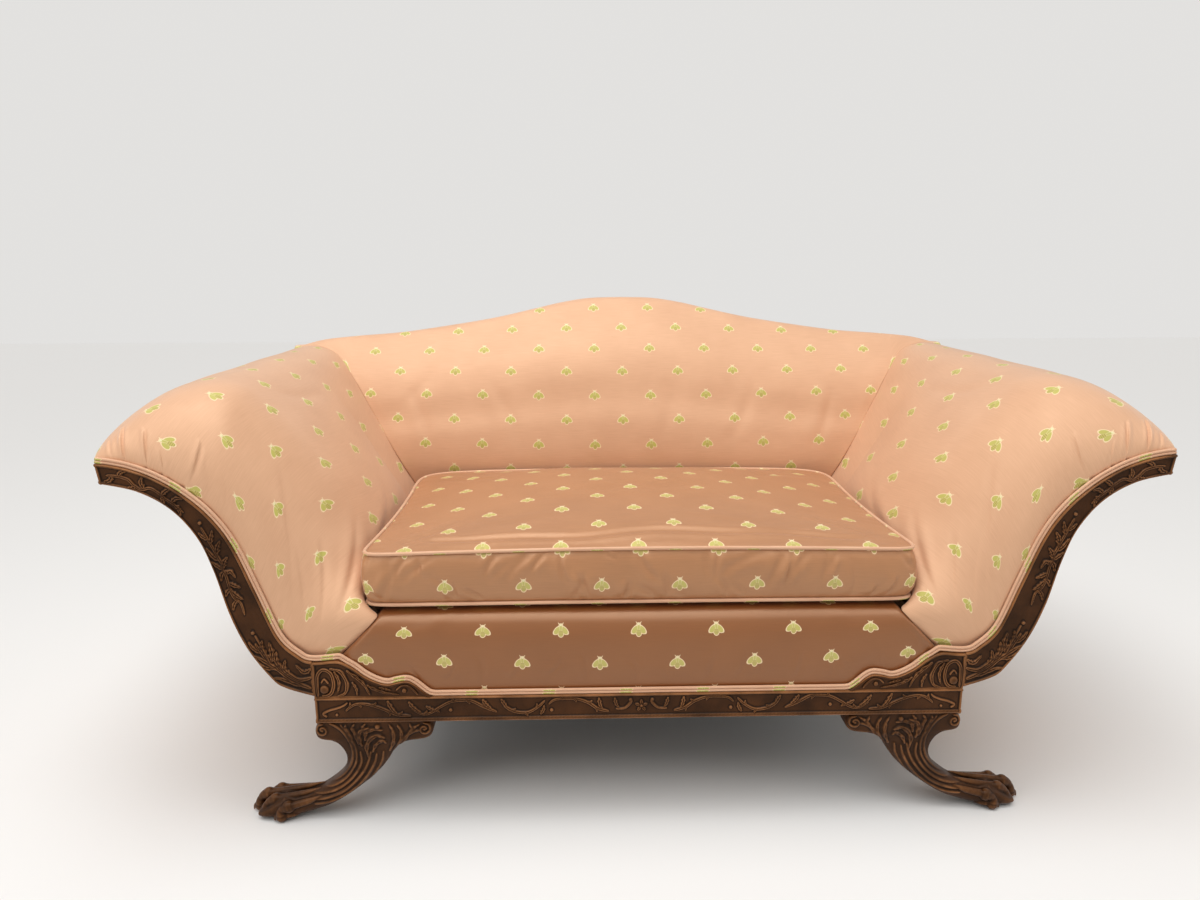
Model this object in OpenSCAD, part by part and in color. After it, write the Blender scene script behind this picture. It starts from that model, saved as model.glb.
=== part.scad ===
// Carved-wood settee with outswept padded arms, a serpentine padded back,
// paw feet and one loose box cushion.
// X runs across the seat, Y from the carved front to the back, Z up.
// The origin is at floor level, midway between the front, the back and the arms.

/* [Overall] */
// Width over the padded arm tips
overall_w = 1850; // [1780:2:1920]
// Depth from the carved front to the top roll of the back
overall_d = 884; // [860:2:920]
// Height of the back at its middle
back_h = 910; // [890:2:950]
// Height of the arms at their crest
arm_h = 792; // [780:1:806]
// Height of the stuffed deck under the loose cushion
deck_h = 402; // [396:1:412]
// Width of the deck between the arms
seat_w = 984; // [970:2:996]

/* [Show wood] */
// Clear height under the seat rails
rail_floor_h = 203; // [190:1:215]
// Length of the carved front rail
rail_l = 1156; // [1140:2:1170]
// Height of the carved front rail
rail_h = 48; // [42:1:54]
// Thickness of the rail, spandrels and arm facings
show_t = 28; // [22:1:34]
// How far the carving and beads stand out from their ground
relief_t = 3; // [2:0.5:5]
// Height of the bead along the rail's lower edge
lower_bead_w = 8; // [5:0.5:11]
// Width of the other edge beads
bead_w = 5; // [3:0.5:7]
// Length of each spandrel along the rail
spandrel_l = 202; // [185:1:215]
// Height of the spandrels above the rail
spandrel_h = 70; // [64:1:74]
// How far the facing's tip lies below the crest of the arm
facing_drop = 112; // [104:1:120]
// Width of the carved stems and leaves at their widest
carved_w = 6; // [4:0.5:7]
// Diameter of the boss in each spandrel's scroll
boss_d = 15; // [11:1:18]
// Diameter of the carved berries
berry_d = 8; // [6:0.5:9]
// Diameter of the rosette in the middle of the rail
rosette_d = 26; // [20:1:30]
// How far the padded arm tip stands out past the wood
tip_overhang = 22; // [14:1:30]

/* [Front legs] */
// Width of the leg where it meets the rail
leg_top_w = 204; // [190:1:212]
// Thickness of the leg, front to back
leg_t = 58; // [50:1:64]
// How far the paw reaches out past the end of the rail
paw_reach = 140; // [125:1:150]
// Height of the paw over the toes
paw_h = 54; // [48:1:60]
// Width of the paw, front to back
paw_w = 72; // [62:1:80]

/* [Rear legs] */
// Side of the square rear legs at the top
rear_leg_w = 48; // [42:1:52]
// Side of the rear legs at the floor
rear_foot_w = 34; // [28:1:40]
// How far the rear legs rake back
rear_leg_rake = 78; // [60:1:95]

/* [Hidden frame] */
// Thickness of the side rails and slats
frame_t = 29; // [24:1:32]
// Height of the hidden seat rails
seat_rail_h = 127; // [110:1:135]
// Thickness of the hidden front rail
inner_rail_t = 48; // [45:1:54]
// Thickness of the boards in the back
back_board_t = 36; // [30:1:40]
// Lean of the back from upright, in degrees
back_lean = 11; // [8:0.5:14]
// Height of the crest board
crest_board_h = 64; // [50:1:75]
// Width of the back's two middle uprights
upright_w = 38; // [32:1:46]
// Height of the lower back rail
back_rail_h = 46; // [38:1:56]
// Width of the fore-and-aft brace under the springs
brace_w = 40; // [32:1:44]
// Height of that brace
brace_h = 42; // [34:1:50]
// Leg of the triangular corner blocks
block_l = 58; // [45:1:66]
// Height of the corner blocks
block_h = 46; // [36:1:60]
// Diameter of the hanger bolts that hold the legs
bolt_d = 8; // [6:0.5:10]
// Length of those bolts
bolt_l = 76; // [60:1:90]

/* [Seat springing] */
// Width of the webbing straps
web_w = 50; // [40:1:55]
// Thickness of the webbing
web_t = 1.6; // [1.2:0.2:2.2]
// Straps that run front to back
seat_webs_deep = 8; // [6:2:10]
// Straps that run side to side
seat_webs_wide = 6; // [4:1:7]
// Radius of the coil springs at their ends
spring_r = 44; // [36:1:48]
// Radius of the coil springs at the waist
spring_waist_r = 27; // [20:1:32]
// Skin on the springs' outline that stands for their wound wire
spring_skin_t = 1; // [0.8:0.1:1.4]
// Springs in each row
springs_wide = 6; // [4:2:6]
// Rows of springs
springs_deep = 4; // [2:1:4]
// Thickness of the hessian over the springs
hessian_t = 2; // [1.5:0.25:3]
// Thickness of the stuffed deck pad
deck_t = 34; // [28:1:40]
// Thickness of the dust cover under the seat
dust_cover_t = 1.2; // [0.8:0.2:2]

/* [Arms] */
// Share of the arm's depth at the show wood that the hidden frame fills
arm_frame_share = 0.42; // [0.36:0.01:0.46]
// Fore-and-aft depth over which the padded arm fronts round off
arm_round_l = 190; // [160:2:210]
// How far the arms swell inwards between front and back
arm_swell = 24; // [14:1:30]
// How far the padding is set back from the show wood's front
pad_setback = 8; // [6:0.5:9]
// Thickness of the board in each outside arm
arm_panel_t = 3; // [2:0.5:4]
// Depth of the arm's top rail and slats, across the padding
arm_rail_h = 40; // [32:1:44]

/* [Back] */
// Thickness of the back's padding at the sitter's waist
back_pad_t = 122; // [110:1:128]
// Thickness of the padding over the crest board
crest_pad_t = 30; // [24:1:36]
// How far the ends of the back's top lie inside the arm tips
back_end_inset = 113; // [109:1:125]
// How far the top roll stands out behind the frame
roll_over = 8; // [5:0.5:10]
// Thickness of the covered board behind the back
back_panel_t = 4; // [3:0.5:5]

/* [Cushion] */
// Clearance between each side seam of the cushion and the deck's edge
cushion_side_gap = 4; // [3:0.5:8]
// Clearance between the cushion and the back's padding
cushion_back_gap = 2; // [1:0.5:8]
// Height of the lower seam above the deck
seam_rise = 12; // [8:1:15]
// Height of the boxing at the front
boxing_h = 92; // [84:1:98]
// Rise of the crown above the top seam
crown_h = 48; // [38:1:56]
// How far the boxing swells past the seams
boxing_swell = 12; // [8:0.5:13]
// How far the middles of the sides are drawn in
side_draw = 16; // [10:1:24]
// How far the cushion's front seam lies behind the show wood's front
cushion_setback = 31; // [28:1:38]

/* [Trim] */
// Diameter of each cord of the double welt
welt_d = 5.4; // [4.5:0.1:6]
// Diameter of the cushion's welts
cushion_welt_d = 7; // [6:0.25:8]
// Clearance between pieces that only touch
fit_gap = 0.3; // [0.2:0.05:0.4]

/* [Hidden] */
$fn = 48;

wood = "saddlebrown";
beech = "burlywood";
satin = "lightsalmon";
linen = "tan";
jute = "peru";
black_cloth = "dimgray";

// Planes of the settee
front_y = -overall_d / 2;
rear_y = overall_d / 2;
rail_half = rail_l / 2;
rail_top_h = rail_floor_h + rail_h;
seat_half = seat_w / 2;
tip_x = overall_w / 2;
wood_tip_x = tip_x - tip_overhang;
wood_tip_h = arm_h - facing_drop;
stump_y = front_y + show_t;
pad_front_y = front_y + pad_setback;
inner_rail_back_y = stump_y + inner_rail_t;
frame_top_h = rail_floor_h + seat_rail_h;
side_inner_x = rail_half - arm_panel_t - frame_t;
overrun = 40;
wide_gap = 4 * fit_gap;

// Front plane of the leaning back frame, and what lies before and behind it
lean_rate = tan(back_lean);
back_frame_top_y = rear_y - roll_over - back_board_t;
function back_y(z) = back_frame_top_y - (back_h - crest_pad_t - z) * lean_rate;
function back_rear_y(z) = back_y(z) + back_board_t;

// Number of steps along the smooth curves
arm_steps = 24;
ogee_steps = 28;
leg_steps = 24;

// Shares of the facing's box, from the rail's end to the wood tip, hand chosen
facing_outer_shares = [[0, 0.01], [0.145, 0.047], [0.215, 0.088], [0.326, 0.214], [0.406, 0.365],
    [0.468, 0.556], [0.535, 0.695], [0.652, 0.81], [0.812, 0.884], [1, 0.918]];
wood_edge_shares = [[-0.145, 0.17], [0, 0.163], [0.074, 0.19], [0.172, 0.272], [0.265, 0.46],
    [0.366, 0.66], [0.468, 0.781], [0.597, 0.874], [0.726, 0.937], [0.846, 0.974],
    [0.942, 0.991], [0.997, 0.996], [1.015, 0.998]];
// Shares of the arm's box, from the deck's edge to the padded tip and crest
arm_profile_shares = [[0, 0], [0.012, 0.118], [0.1, 0.303], [0.24, 0.559], [0.372, 0.787],
    [0.497, 0.941], [0.612, 0.996], [0.723, 0.996], [0.827, 0.962], [0.919, 0.897],
    [0.98, 0.83], [1, 0.777], [0.984, 0.733]];
// Where the arm's lower edge meets the front border, in the same box
border_corner_share = -0.081;
// Shares of the spandrel's box, from its inner point to the arm facing
ogee_shares = [[-0.05, 0], [0, 0.035], [0.04, 0.11], [0.085, 0.225], [0.135, 0.35], [0.19, 0.425],
    [0.267, 0.4], [0.351, 0.345], [0.44, 0.4], [0.55, 0.571], [0.66, 0.83], [0.757, 0.985],
    [0.84, 1], [0.92, 0.975], [1, 0.965]];
// Carved lines, each a list of shares: the rail's vine from its middle to its end
vine_shares = [[[0.08, 0.34], [0.052, 0.37], [0.033, 0.69], [0.036, 0.9]],
    [[0.286, 0.6], [0.268, 0.86], [0.234, 0.93], [0.199, 0.9], [0.163, 0.69], [0.135, 0.37], [0.1, 0.2]],
    [[0.424, 0.63], [0.394, 0.29], [0.353, 0.2], [0.318, 0.51], [0.297, 0.86]],
    [[0.707, 0.5], [0.676, 0.2], [0.649, 0.26], [0.619, 0.57], [0.585, 0.84], [0.55, 0.92],
        [0.522, 0.88], [0.486, 0.57], [0.445, 0.26]],
    [[0.908, 0.4], [0.896, 0.6], [0.874, 0.8], [0.844, 0.8], [0.81, 0.63], [0.775, 0.37], [0.747, 0.17],
        [0.708, 0.12]],
    [[0.965, 0.12], [0.975, 0.3], [0.955, 0.48], [0.93, 0.6], [0.91, 0.75], [0.9, 0.9]],
    [[0.778, 0.9], [0.766, 0.46], [0.764, 0.2]],
    [[0.131, 0.9], [0.128, 0.6], [0.121, 0.33]]];
vine_berry_shares = [[0.587, 0.43], [0.286, 0.3]];
// Lines in the spandrel's box: the C-scroll, its inner leaves, and the stem that hooks round a berry
scroll_shares = [[[0.963, 0.05], [0.965, 0.38], [0.955, 0.64], [0.906, 0.77], [0.842, 0.66], [0.822, 0.41],
        [0.842, 0.17], [0.886, 0.07]],
    [[0.842, 0.8], [0.758, 0.72], [0.708, 0.41], [0.728, 0.14], [0.795, 0.06]],
    [[0.7, 0.74], [0.617, 0.52], [0.56, 0.34], [0.525, 0.07]],
    [[0.533, 0.32], [0.468, 0.229], [0.374, 0.12], [0.262, 0.075]],
    [[0.272, 0.22], [0.234, 0.3], [0.168, 0.28], [0.11, 0.07]]];
boss_share = [0.906, 0.24];
scroll_berry_share = [0.215, 0.17];
// Lines in the facing's box: leaf sprays at its lower end, its middle and its tip
spray_shares = [[[0.02, 0.045], [0.065, 0.065], [0.132, 0.097], [0.181, 0.133], [0.226, 0.165],
        [0.258, 0.205], [0.29, 0.249]],
    [[0.012, 0.094], [0.069, 0.085], [0.119, 0.11], [0.159, 0.142], [0.198, 0.178], [0.233, 0.196]],
    [[0.233, 0.196], [0.269, 0.253], [0.293, 0.289]],
    [[0.222, 0.105], [0.158, 0.1], [0.106, 0.081]],
    [[0.171, 0.124], [0.206, 0.147], [0.257, 0.174], [0.3, 0.188]],
    [[0.16, 0.133], [0.193, 0.169], [0.19, 0.202]],
    [[0.329, 0.37], [0.344, 0.422], [0.377, 0.447], [0.395, 0.49], [0.407, 0.541], [0.43, 0.604],
        [0.451, 0.641], [0.481, 0.691], [0.507, 0.75]],
    [[0.393, 0.507], [0.371, 0.492], [0.343, 0.487]],
    [[0.41, 0.558], [0.427, 0.545], [0.435, 0.52]],
    [[0.435, 0.604], [0.464, 0.625], [0.495, 0.658]],
    [[0.609, 0.799], [0.63, 0.831], [0.672, 0.856], [0.704, 0.88], [0.747, 0.9], [0.789, 0.895],
        [0.826, 0.913], [0.852, 0.934], [0.9, 0.948], [0.96, 0.953]],
    [[0.644, 0.843], [0.622, 0.855], [0.595, 0.85]],
    [[0.9, 0.946], [0.878, 0.929], [0.86, 0.915]]];
spray_berry_shares = [[0.297, 0.292], [0.51, 0.752]];
// Top line of the back, from its middle to the end over the arm
crest_shares = [[0, 1], [0.1, 0.98], [0.19, 0.885], [0.27, 0.76], [0.4, 0.565], [0.55, 0.4],
    [0.69, 0.27], [0.83, 0.195], [0.93, 0.12], [1, 0]];
// Back padding: depth below the top line, then thickness before the frame
back_section_shares = [[0, -0.04], [0.02, 0.07], [0.075, 0.235], [0.147, 0.43], [0.242, 0.645],
    [0.348, 0.795], [0.465, 0.88], [0.58, 0.99], [0.72, 1], [0.86, 0.88], [1, 0.75]];
// Rounding over the back's top: back from the frame's front, then down
roll_shares = [[0.35, 0], [0.75, 0.05], [1.07, 0.18], [1.135, 0.48], [1.135, 1]];
// Front border: depth from the padding's front, then height above the wood
border_shares = [[0.02, 0], [0.01, 0.1], [-0.045, 0.32], [-0.04, 0.56], [0, 0.72],
    [0.07, 0.83], [0.16, 0.91], [0.3, 0.97], [0.5, 1], [1, 1]];
border_flat_share = 0.4;
border_lap = 6;

function lerp(a, b, t) = a + (b - a) * t;
function smooth(t) = let (u = max(0, min(1, t))) u * u * (3 - 2 * u);
function place(shares, x0, x1, z0, z1) =
    [for (s = shares) [lerp(x0, x1, s.x), lerp(z0, z1, s.y)]];
function mirrored(points) = [for (i = [len(points) - 1:-1:0]) [-points[i].x, points[i].y]];
function part_of(points, first, last) = [for (i = [first:last]) points[i]];
function backwards(points) = [for (i = [len(points) - 1:-1:0]) points[i]];
function flat(lists) = [for (l = lists) each l];

// Smooth curve through the control points p, in n even steps
function curve(p, n) =
    let (m = len(p) - 1)
    [for (i = [0:n])
        let (u = m * i / n, k = min(floor(u), m - 1), t = u - k)
        let (a = p[max(k - 1, 0)], b = p[k], c = p[k + 1], d = p[min(k + 2, m)])
        b + ((c - a) * t + (2 * a - 5 * b + 4 * c - d) * t * t
            + (3 * b - a - 3 * c + d) * t * t * t) / 2];

// Direction to the left of the line p at its point i
function left_of(p, i) =
    let (v = p[min(i + 1, len(p) - 1)] - p[max(i - 1, 0)])
    [-v.y, v.x] / norm(v);

// The line p moved sideways by d, to the left of its direction
function beside(p, d) = [for (i = [0:len(p) - 1]) p[i] + d * left_of(p, i)];

// Arm curves of the right side, seen from the front as [x, z]
function in_facing(shares) = place(shares, rail_half, wood_tip_x, rail_top_h, wood_tip_h);
facing_outer = curve(in_facing(facing_outer_shares), arm_steps);
wood_edge = curve(in_facing(wood_edge_shares), arm_steps);
arm_profile = curve(place(arm_profile_shares, seat_half, tip_x, deck_h, arm_h), arm_steps);
arm_frame_edge = [for (i = [0:arm_steps]) lerp(wood_edge[i], arm_profile[i], arm_frame_share)];
root_step = 2;
border_top_half = lerp(seat_half, tip_x, border_corner_share);
ogee = curve(in_spandrel(ogee_shares), ogee_steps);

// Mirror image for the left side
module side(s) {
    if (s > 0) children();
    else mirror([1, 0, 0]) children();
}

// Outline drawn as seen from the front, from depth y0 to y1
module upright(points, y0, y1) {
    translate([0, y1, 0])
        rotate([90, 0, 0])
            linear_extrude(y1 - y0)
                polygon(points);
}

// Strip of carving along a line, widest in its middle, standing out from its ground
carved_tip_share = 0.4;
module carved(line) {
    n = len(line) - 1;
    reach = [for (i = [0:n]) carved_w / 2 * lerp(carved_tip_share, 1, sin(180 * i / n)) * left_of(line, i)];
    upright(concat(line + reach, backwards(line - reach)), front_y, front_y + relief_t);
}

// Round boss or berry standing out from its ground
module knob(p, d) {
    translate([p.x, front_y + relief_t, p.y])
        rotate([90, 0, 0])
            cylinder(d = d, h = relief_t);
}

// Slab that leans with the back, between two distances behind the frame's front plane
module leaning_slab(near, far) {
    translate([0, back_y(rail_floor_h), rail_floor_h])
        rotate([-back_lean, 0, 0])
            translate([-overall_w, near * cos(back_lean), -overall_d])
                cube([2 * overall_w, (far - near) * cos(back_lean), overall_d + 2 * back_h]);
}

// Board of the leaning back, cut from an outline seen from the front
module leaning_board(points, near, far) {
    intersection() {
        upright(points, front_y, rear_y + overrun);
        leaning_slab(near, far);
    }
}

// Closed solid between two grids of points with the same rows and columns
module slab(a, b) {
    rows = len(a);
    cols = len(a[0]);
    half = rows * cols;
    points = concat(flat(a), flat(b));
    sides = [for (k = [0:rows - 2], i = [0:cols - 2])
        let (p = k * cols + i, q = p + cols)
        each [[p, p + 1, q + 1], [p, q + 1, q],
            [half + p, half + q + 1, half + p + 1], [half + p, half + q, half + q + 1]]];
    row_ends = [for (k = [0, rows - 1], i = [0:cols - 2])
        let (p = k * cols + i, f = k == 0)
        each [f ? [p + 1, p, half + p] : [p, p + 1, half + p],
            f ? [p + 1, half + p, half + p + 1] : [p + 1, half + p + 1, half + p]]];
    col_ends = [for (k = [0:rows - 2], i = [0, cols - 1])
        let (p = k * cols + i, q = p + cols, f = i == 0)
        each [f ? [p, q, half + q] : [q, p, half + q],
            f ? [p, half + q, half + p] : [p, half + p, half + q]]];
    polyhedron(points, concat(sides, row_ends, col_ends));
}

// Solid through a stack of closed rings, closed by its first and last ring
module stack(rings) {
    n = len(rings[0]);
    last = (len(rings) - 1) * n;
    walls = [for (k = [0:len(rings) - 2], i = [0:n - 1])
        let (p = k * n + i, q = k * n + (i + 1) % n)
        each [[p, q, q + n], [p, q + n, p + n]]];
    polyhedron(flat(rings), concat([[for (i = [n - 1:-1:0]) i]], walls, [[for (i = [0:n - 1]) last + i]]));
}

// Show wood: ground board with beads and carving standing out from it
vine_steps = 3;
petals = 5;
module front_rail() {
    z0 = rail_floor_h + lower_bead_w;
    z1 = rail_top_h - bead_w;
    petal_d = rosette_d / 3;
    color(wood) {
        for (s = [-1, 1])
            side(s) {
                for (q = vine_shares)
                    carved(curve(place(q, 0, rail_half, z0, z1), vine_steps * (len(q) - 1)));
                for (q = place(vine_berry_shares, 0, rail_half, z0, z1))
                    knob(q, berry_d);
            }
        knob([0, (z0 + z1) / 2], petal_d);
        for (i = [0:petals - 1])
            knob([0, (z0 + z1) / 2] + petal_d * [sin(360 * i / petals), cos(360 * i / petals)], petal_d);
        translate([-rail_half, front_y + relief_t, rail_floor_h])
            cube([rail_l, show_t - relief_t, rail_h]);
        translate([-rail_half, front_y, rail_floor_h])
            cube([rail_l, relief_t, lower_bead_w]);
        translate([-rail_half, front_y, rail_top_h - bead_w])
            cube([rail_l, relief_t, bead_w]);
        for (s = [-1, 1])
            side(s)
                translate([rail_half - bead_w, front_y, rail_floor_h])
                    cube([bead_w, relief_t, rail_h]);
    }
}

function in_spandrel(shares) =
    place(shares, rail_half - spandrel_l, rail_half, rail_top_h, rail_top_h + spandrel_h);
module spandrel(s) {
    foot = [[rail_half, rail_top_h]];
    lower = [for (p = backwards(beside(ogee, -bead_w))) [p.x, max(p.y, rail_top_h)]];
    color(wood)
        side(s) {
            upright(concat(foot, ogee), front_y + relief_t, stump_y);
            upright(concat(ogee, lower), front_y, front_y + relief_t);
            translate([rail_half - bead_w, front_y, rail_top_h])
                cube([bead_w, relief_t, spandrel_h * ogee_shares[len(ogee_shares) - 1].y]);
            for (q = scroll_shares)
                carved(curve(in_spandrel(q), vine_steps * (len(q) - 1)));
            knob(in_spandrel([boss_share])[0], boss_d);
            knob(in_spandrel([scroll_berry_share])[0], berry_d);
        }
}
module spandrel_left() { spandrel(-1); }
module spandrel_right() { spandrel(1); }

// Inner edge of the facing, from its root at the spandrel to the tip
facing_inner = part_of(wood_edge, root_step, arm_steps);

module arm_facing(s) {
    ground = concat(facing_outer, backwards(facing_inner));
    outer_bead = [for (p = beside(facing_outer, bead_w)) [max(p.x, rail_half), p.y]];
    inner_bead = [for (p = beside(facing_inner, -bead_w)) [max(p.x, rail_half), p.y]];
    color(wood)
        side(s) {
            upright(ground, front_y + relief_t, stump_y);
            upright(concat(facing_outer, backwards(outer_bead)), front_y, front_y + relief_t);
            upright(concat(inner_bead, backwards(facing_inner)), front_y, front_y + relief_t);
            for (q = spray_shares)
                carved(curve(in_facing(q), vine_steps * (len(q) - 1)));
            for (q = in_facing(spray_berry_shares))
                knob(q, berry_d);
        }
}
module arm_facing_left() { arm_facing(-1); }
module arm_facing_right() { arm_facing(1); }

// Front leg: outlines of its outer and inner side, as shares of the paw's reach past the
// rail and of the height under the rail, with the scrolls at the top corners
leg_outer_shares = [[-0.02, 1], [0.03, 0.955], [0.06, 0.88], [0.03, 0.815], [-0.1, 0.795], [-0.2, 0.75],
    [-0.275, 0.67], [-0.3, 0.58], [-0.265, 0.49], [-0.17, 0.405], [0.03, 0.3], [0.23, 0.235],
    [0.42, 0.215]];
leg_inner_shares = [[-1.4, 1], [-1.44, 0.955], [-1.45, 0.875], [-1.4, 0.81], [-1.22, 0.79], [-1.04, 0.745],
    [-0.93, 0.665], [-0.85, 0.575], [-0.74, 0.475], [-0.59, 0.375], [-0.36, 0.245], [-0.1, 0.13],
    [0.16, 0.06]];
leg_t_shares = [[1, 9], [1, 9], [1, 9], [1, 8], [0.98, 7], [0.95, 5], [0.92, 4], [0.9, 3.4], [0.88, 3],
    [0.86, 2.8], [0.84, 2.6], [0.83, 2.5], [0.84, 2.4]];
// Paw: reach of each ring's top and sole, height of its top and sole, width, and toe depth
paw_shares = [[0.54, 0.5, 0.88, 0, 0.84, 0], [0.66, 0.63, 1, 0, 0.92, 0.5],
    [0.75, 0.73, 0.98, 0, 0.97, 0.8], [0.83, 0.81, 0.82, 0, 1, 1], [0.9, 0.88, 0.72, 0, 1, 1],
    [0.96, 0.94, 0.54, 0, 0.95, 1], [0.99, 0.975, 0.34, 0.05, 0.8, 1], [1, 0.99, 0.2, 0.13, 0.5, 0.6]];
across_shares = [-0.95, -0.75, -0.5, -0.25, 0, 0.25, 0.5, 0.75, 0.95];
toe_depth_share = 0.11;
toe_depth = paw_w * toe_depth_share;
leg_y = front_y + (relief_t + paw_w) / 2;
paw_power = 2.8;

// One ring of the leg between the points a (above) and b (below), t thick, toes notched between
function leg_ring(a, b, t, power, toe) =
    let (c = (a + b) / 2, r = (a - b) / 2, n = len(across_shares))
    let (vs = concat(across_shares, [1], backwards(across_shares), [-1]))
    [for (i = [0:len(vs) - 1])
        let (v = vs[i], d = i < n ? 1 : i > n ? -1 : 0)
        let (u = i == len(vs) - 1 ? 0 : d * pow(1 - pow(abs(v), power), 1 / power))
        let (lobe = 1 - abs(sin(360 * (v + 1))), sunk = toe * lobe)
        [c.x + r.x * u - sunk, leg_y + t / 2 * v,
            max(0, c.y + r.y * u - (d > 0 ? sunk : 0))]];

module front_leg(s) {
    place_leg = function(q) [rail_half + q.x * paw_reach, q.y * rail_floor_h];
    outer = curve([for (q = leg_outer_shares) place_leg(q)], leg_steps);
    inner = curve([for (q = leg_inner_shares) place_leg(q)], leg_steps);
    t = curve(leg_t_shares, leg_steps);
    leg = [for (k = [0:leg_steps]) leg_ring(outer[k], inner[k], t[k].x * leg_t, t[k].y, 0)];
    paw = [for (q = paw_shares)
        leg_ring([rail_half + q[0] * paw_reach, q[2] * paw_h], [rail_half + q[1] * paw_reach, q[3] * paw_h],
            q[4] * paw_w, paw_power, q[5] * toe_depth)];
    color(wood)
        side(s)
            stack(concat(leg, paw));
}
module front_leg_left() { front_leg(-1); }
module front_leg_right() { front_leg(1); }

// Rear legs: square, raked back in one plain curve
rear_leg_y = back_y(rail_floor_h) - fit_gap;
module rear_leg(s) {
    n = 10;
    back_line = [for (i = [0:n])
        let (u = i / n) [rear_leg_y + rear_leg_w + rear_leg_rake * u * u, rail_floor_h * (1 - u)]];
    front_line = [for (i = [0:n])
        let (u = i / n)
        [rear_leg_y + rear_leg_rake * u * u + (rear_leg_w - rear_foot_w) * u, rail_floor_h * (1 - u)]];
    color(wood)
        side(s)
            translate([side_inner_x - rear_leg_w + frame_t, 0, 0])
                rotate([90, 0, 90])
                    linear_extrude(rear_leg_w)
                        polygon(concat(front_line, backwards(back_line)));
}
module rear_leg_left() { rear_leg(-1); }
module rear_leg_right() { rear_leg(1); }

// Hidden seat frame
module inner_front_rail() {
    color(beech)
        translate([-side_inner_x, stump_y, rail_floor_h])
            cube([2 * side_inner_x, inner_rail_t, seat_rail_h]);
}

stump_back_y = stump_y + show_t;
module side_rail(s) {
    color(beech)
        side(s)
            difference() {
                translate([side_inner_x, stump_back_y, rail_floor_h])
                    cube([frame_t, rear_y - stump_back_y, seat_rail_h]);
                leaning_slab(0, overall_d);
            }
}
module side_rail_left() { side_rail(-1); }
module side_rail_right() { side_rail(1); }

module rear_rail() {
    x = side_inner_x;
    color(beech)
        leaning_board([[-x, rail_floor_h], [x, rail_floor_h], [x, frame_top_h], [-x, frame_top_h]],
            0, back_board_t);
}

module seat_brace() {
    color(beech)
        difference() {
            translate([-brace_w / 2, inner_rail_back_y, rail_floor_h])
                cube([brace_w, rear_y - inner_rail_back_y, brace_h]);
            leaning_slab(0, overall_d);
        }
}

// Triangular block glued and screwed into each corner of the seat frame
module corner_block(s, rear) {
    y = rear ? back_y(rail_floor_h) : inner_rail_back_y;
    d = rear ? -1 : 1;
    color(beech)
        side(s)
            translate([side_inner_x, y, rail_floor_h])
                linear_extrude(block_h)
                    polygon([[0, 0], [-block_l, 0], [0, d * block_l]]);
}
module corner_block_front_left() { corner_block(-1, false); }
module corner_block_front_right() { corner_block(1, false); }
module corner_block_rear_left() { corner_block(-1, true); }
module corner_block_rear_right() { corner_block(1, true); }

// Hanger bolts, threaded up into the frame and down into the legs
module leg_bolts() {
    places = [[rail_half - leg_top_w / 4, leg_y], [rail_half - leg_top_w * 3 / 4, leg_y],
        [side_inner_x - bolt_d * 2, rear_leg_y + back_board_t / 2]];
    color("slategray")
        for (s = [-1, 1], p = places)
            translate([s * p.x, p.y, rail_floor_h - bolt_l / 2])
                cylinder(d = bolt_d, h = bolt_l);
}

// Outside of the arm, from the foot of the rail round to the padded tip
outside_line = concat([[rail_half, rail_floor_h]], facing_outer,
    [arm_frame_edge[arm_steps] - [0, 2 * fit_gap]]);

// Arm frame: boards that fill the arm between its outside and its padding
stump_end_step = 20;
module stump_outline_board(y0, y1) {
    edge = beside(part_of(arm_frame_edge, root_step, stump_end_step), -fit_gap);
    top = [for (p = edge) [max(p.x, side_inner_x), p.y]];
    outer = [for (p = beside(outside_line, arm_panel_t)) if (p.x < top[len(top) - 1].x) p];
    upright(concat([[side_inner_x, rail_floor_h]], outer, backwards(top)), y0, y1);
}

module arm_stump(s) {
    color(beech)
        side(s)
            stump_outline_board(stump_y, stump_back_y);
}
module arm_stump_left() { arm_stump(-1); }
module arm_stump_right() { arm_stump(1); }

module arm_back_board(s) {
    color(beech)
        side(s)
            intersection() {
                stump_outline_board(front_y, rear_y + overrun);
                leaning_slab(0, back_board_t);
                translate([side_inner_x + frame_t, front_y, 0])
                    cube([overall_w, 2 * overall_d, arm_h]);
            }
}
module arm_back_board_left() { arm_back_board(-1); }
module arm_back_board_right() { arm_back_board(1); }

// Rail that follows the arm's hidden edge from one step to another
module arm_band(s, steps) {
    line = beside(part_of(arm_frame_edge, steps[0], steps[1]), -fit_gap);
    color(beech)
        side(s)
            difference() {
                upright(concat(line, backwards(beside(line, -arm_rail_h))), stump_back_y, rear_y);
                leaning_slab(0, overall_d);
            }
}
top_rail_steps = [13, 16];
slat_steps = [6, 8];
module arm_top_rail_left() { arm_band(-1, top_rail_steps); }
module arm_top_rail_right() { arm_band(1, top_rail_steps); }
module arm_slat_left() { arm_band(-1, slat_steps); }
module arm_slat_right() { arm_band(1, slat_steps); }

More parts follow.
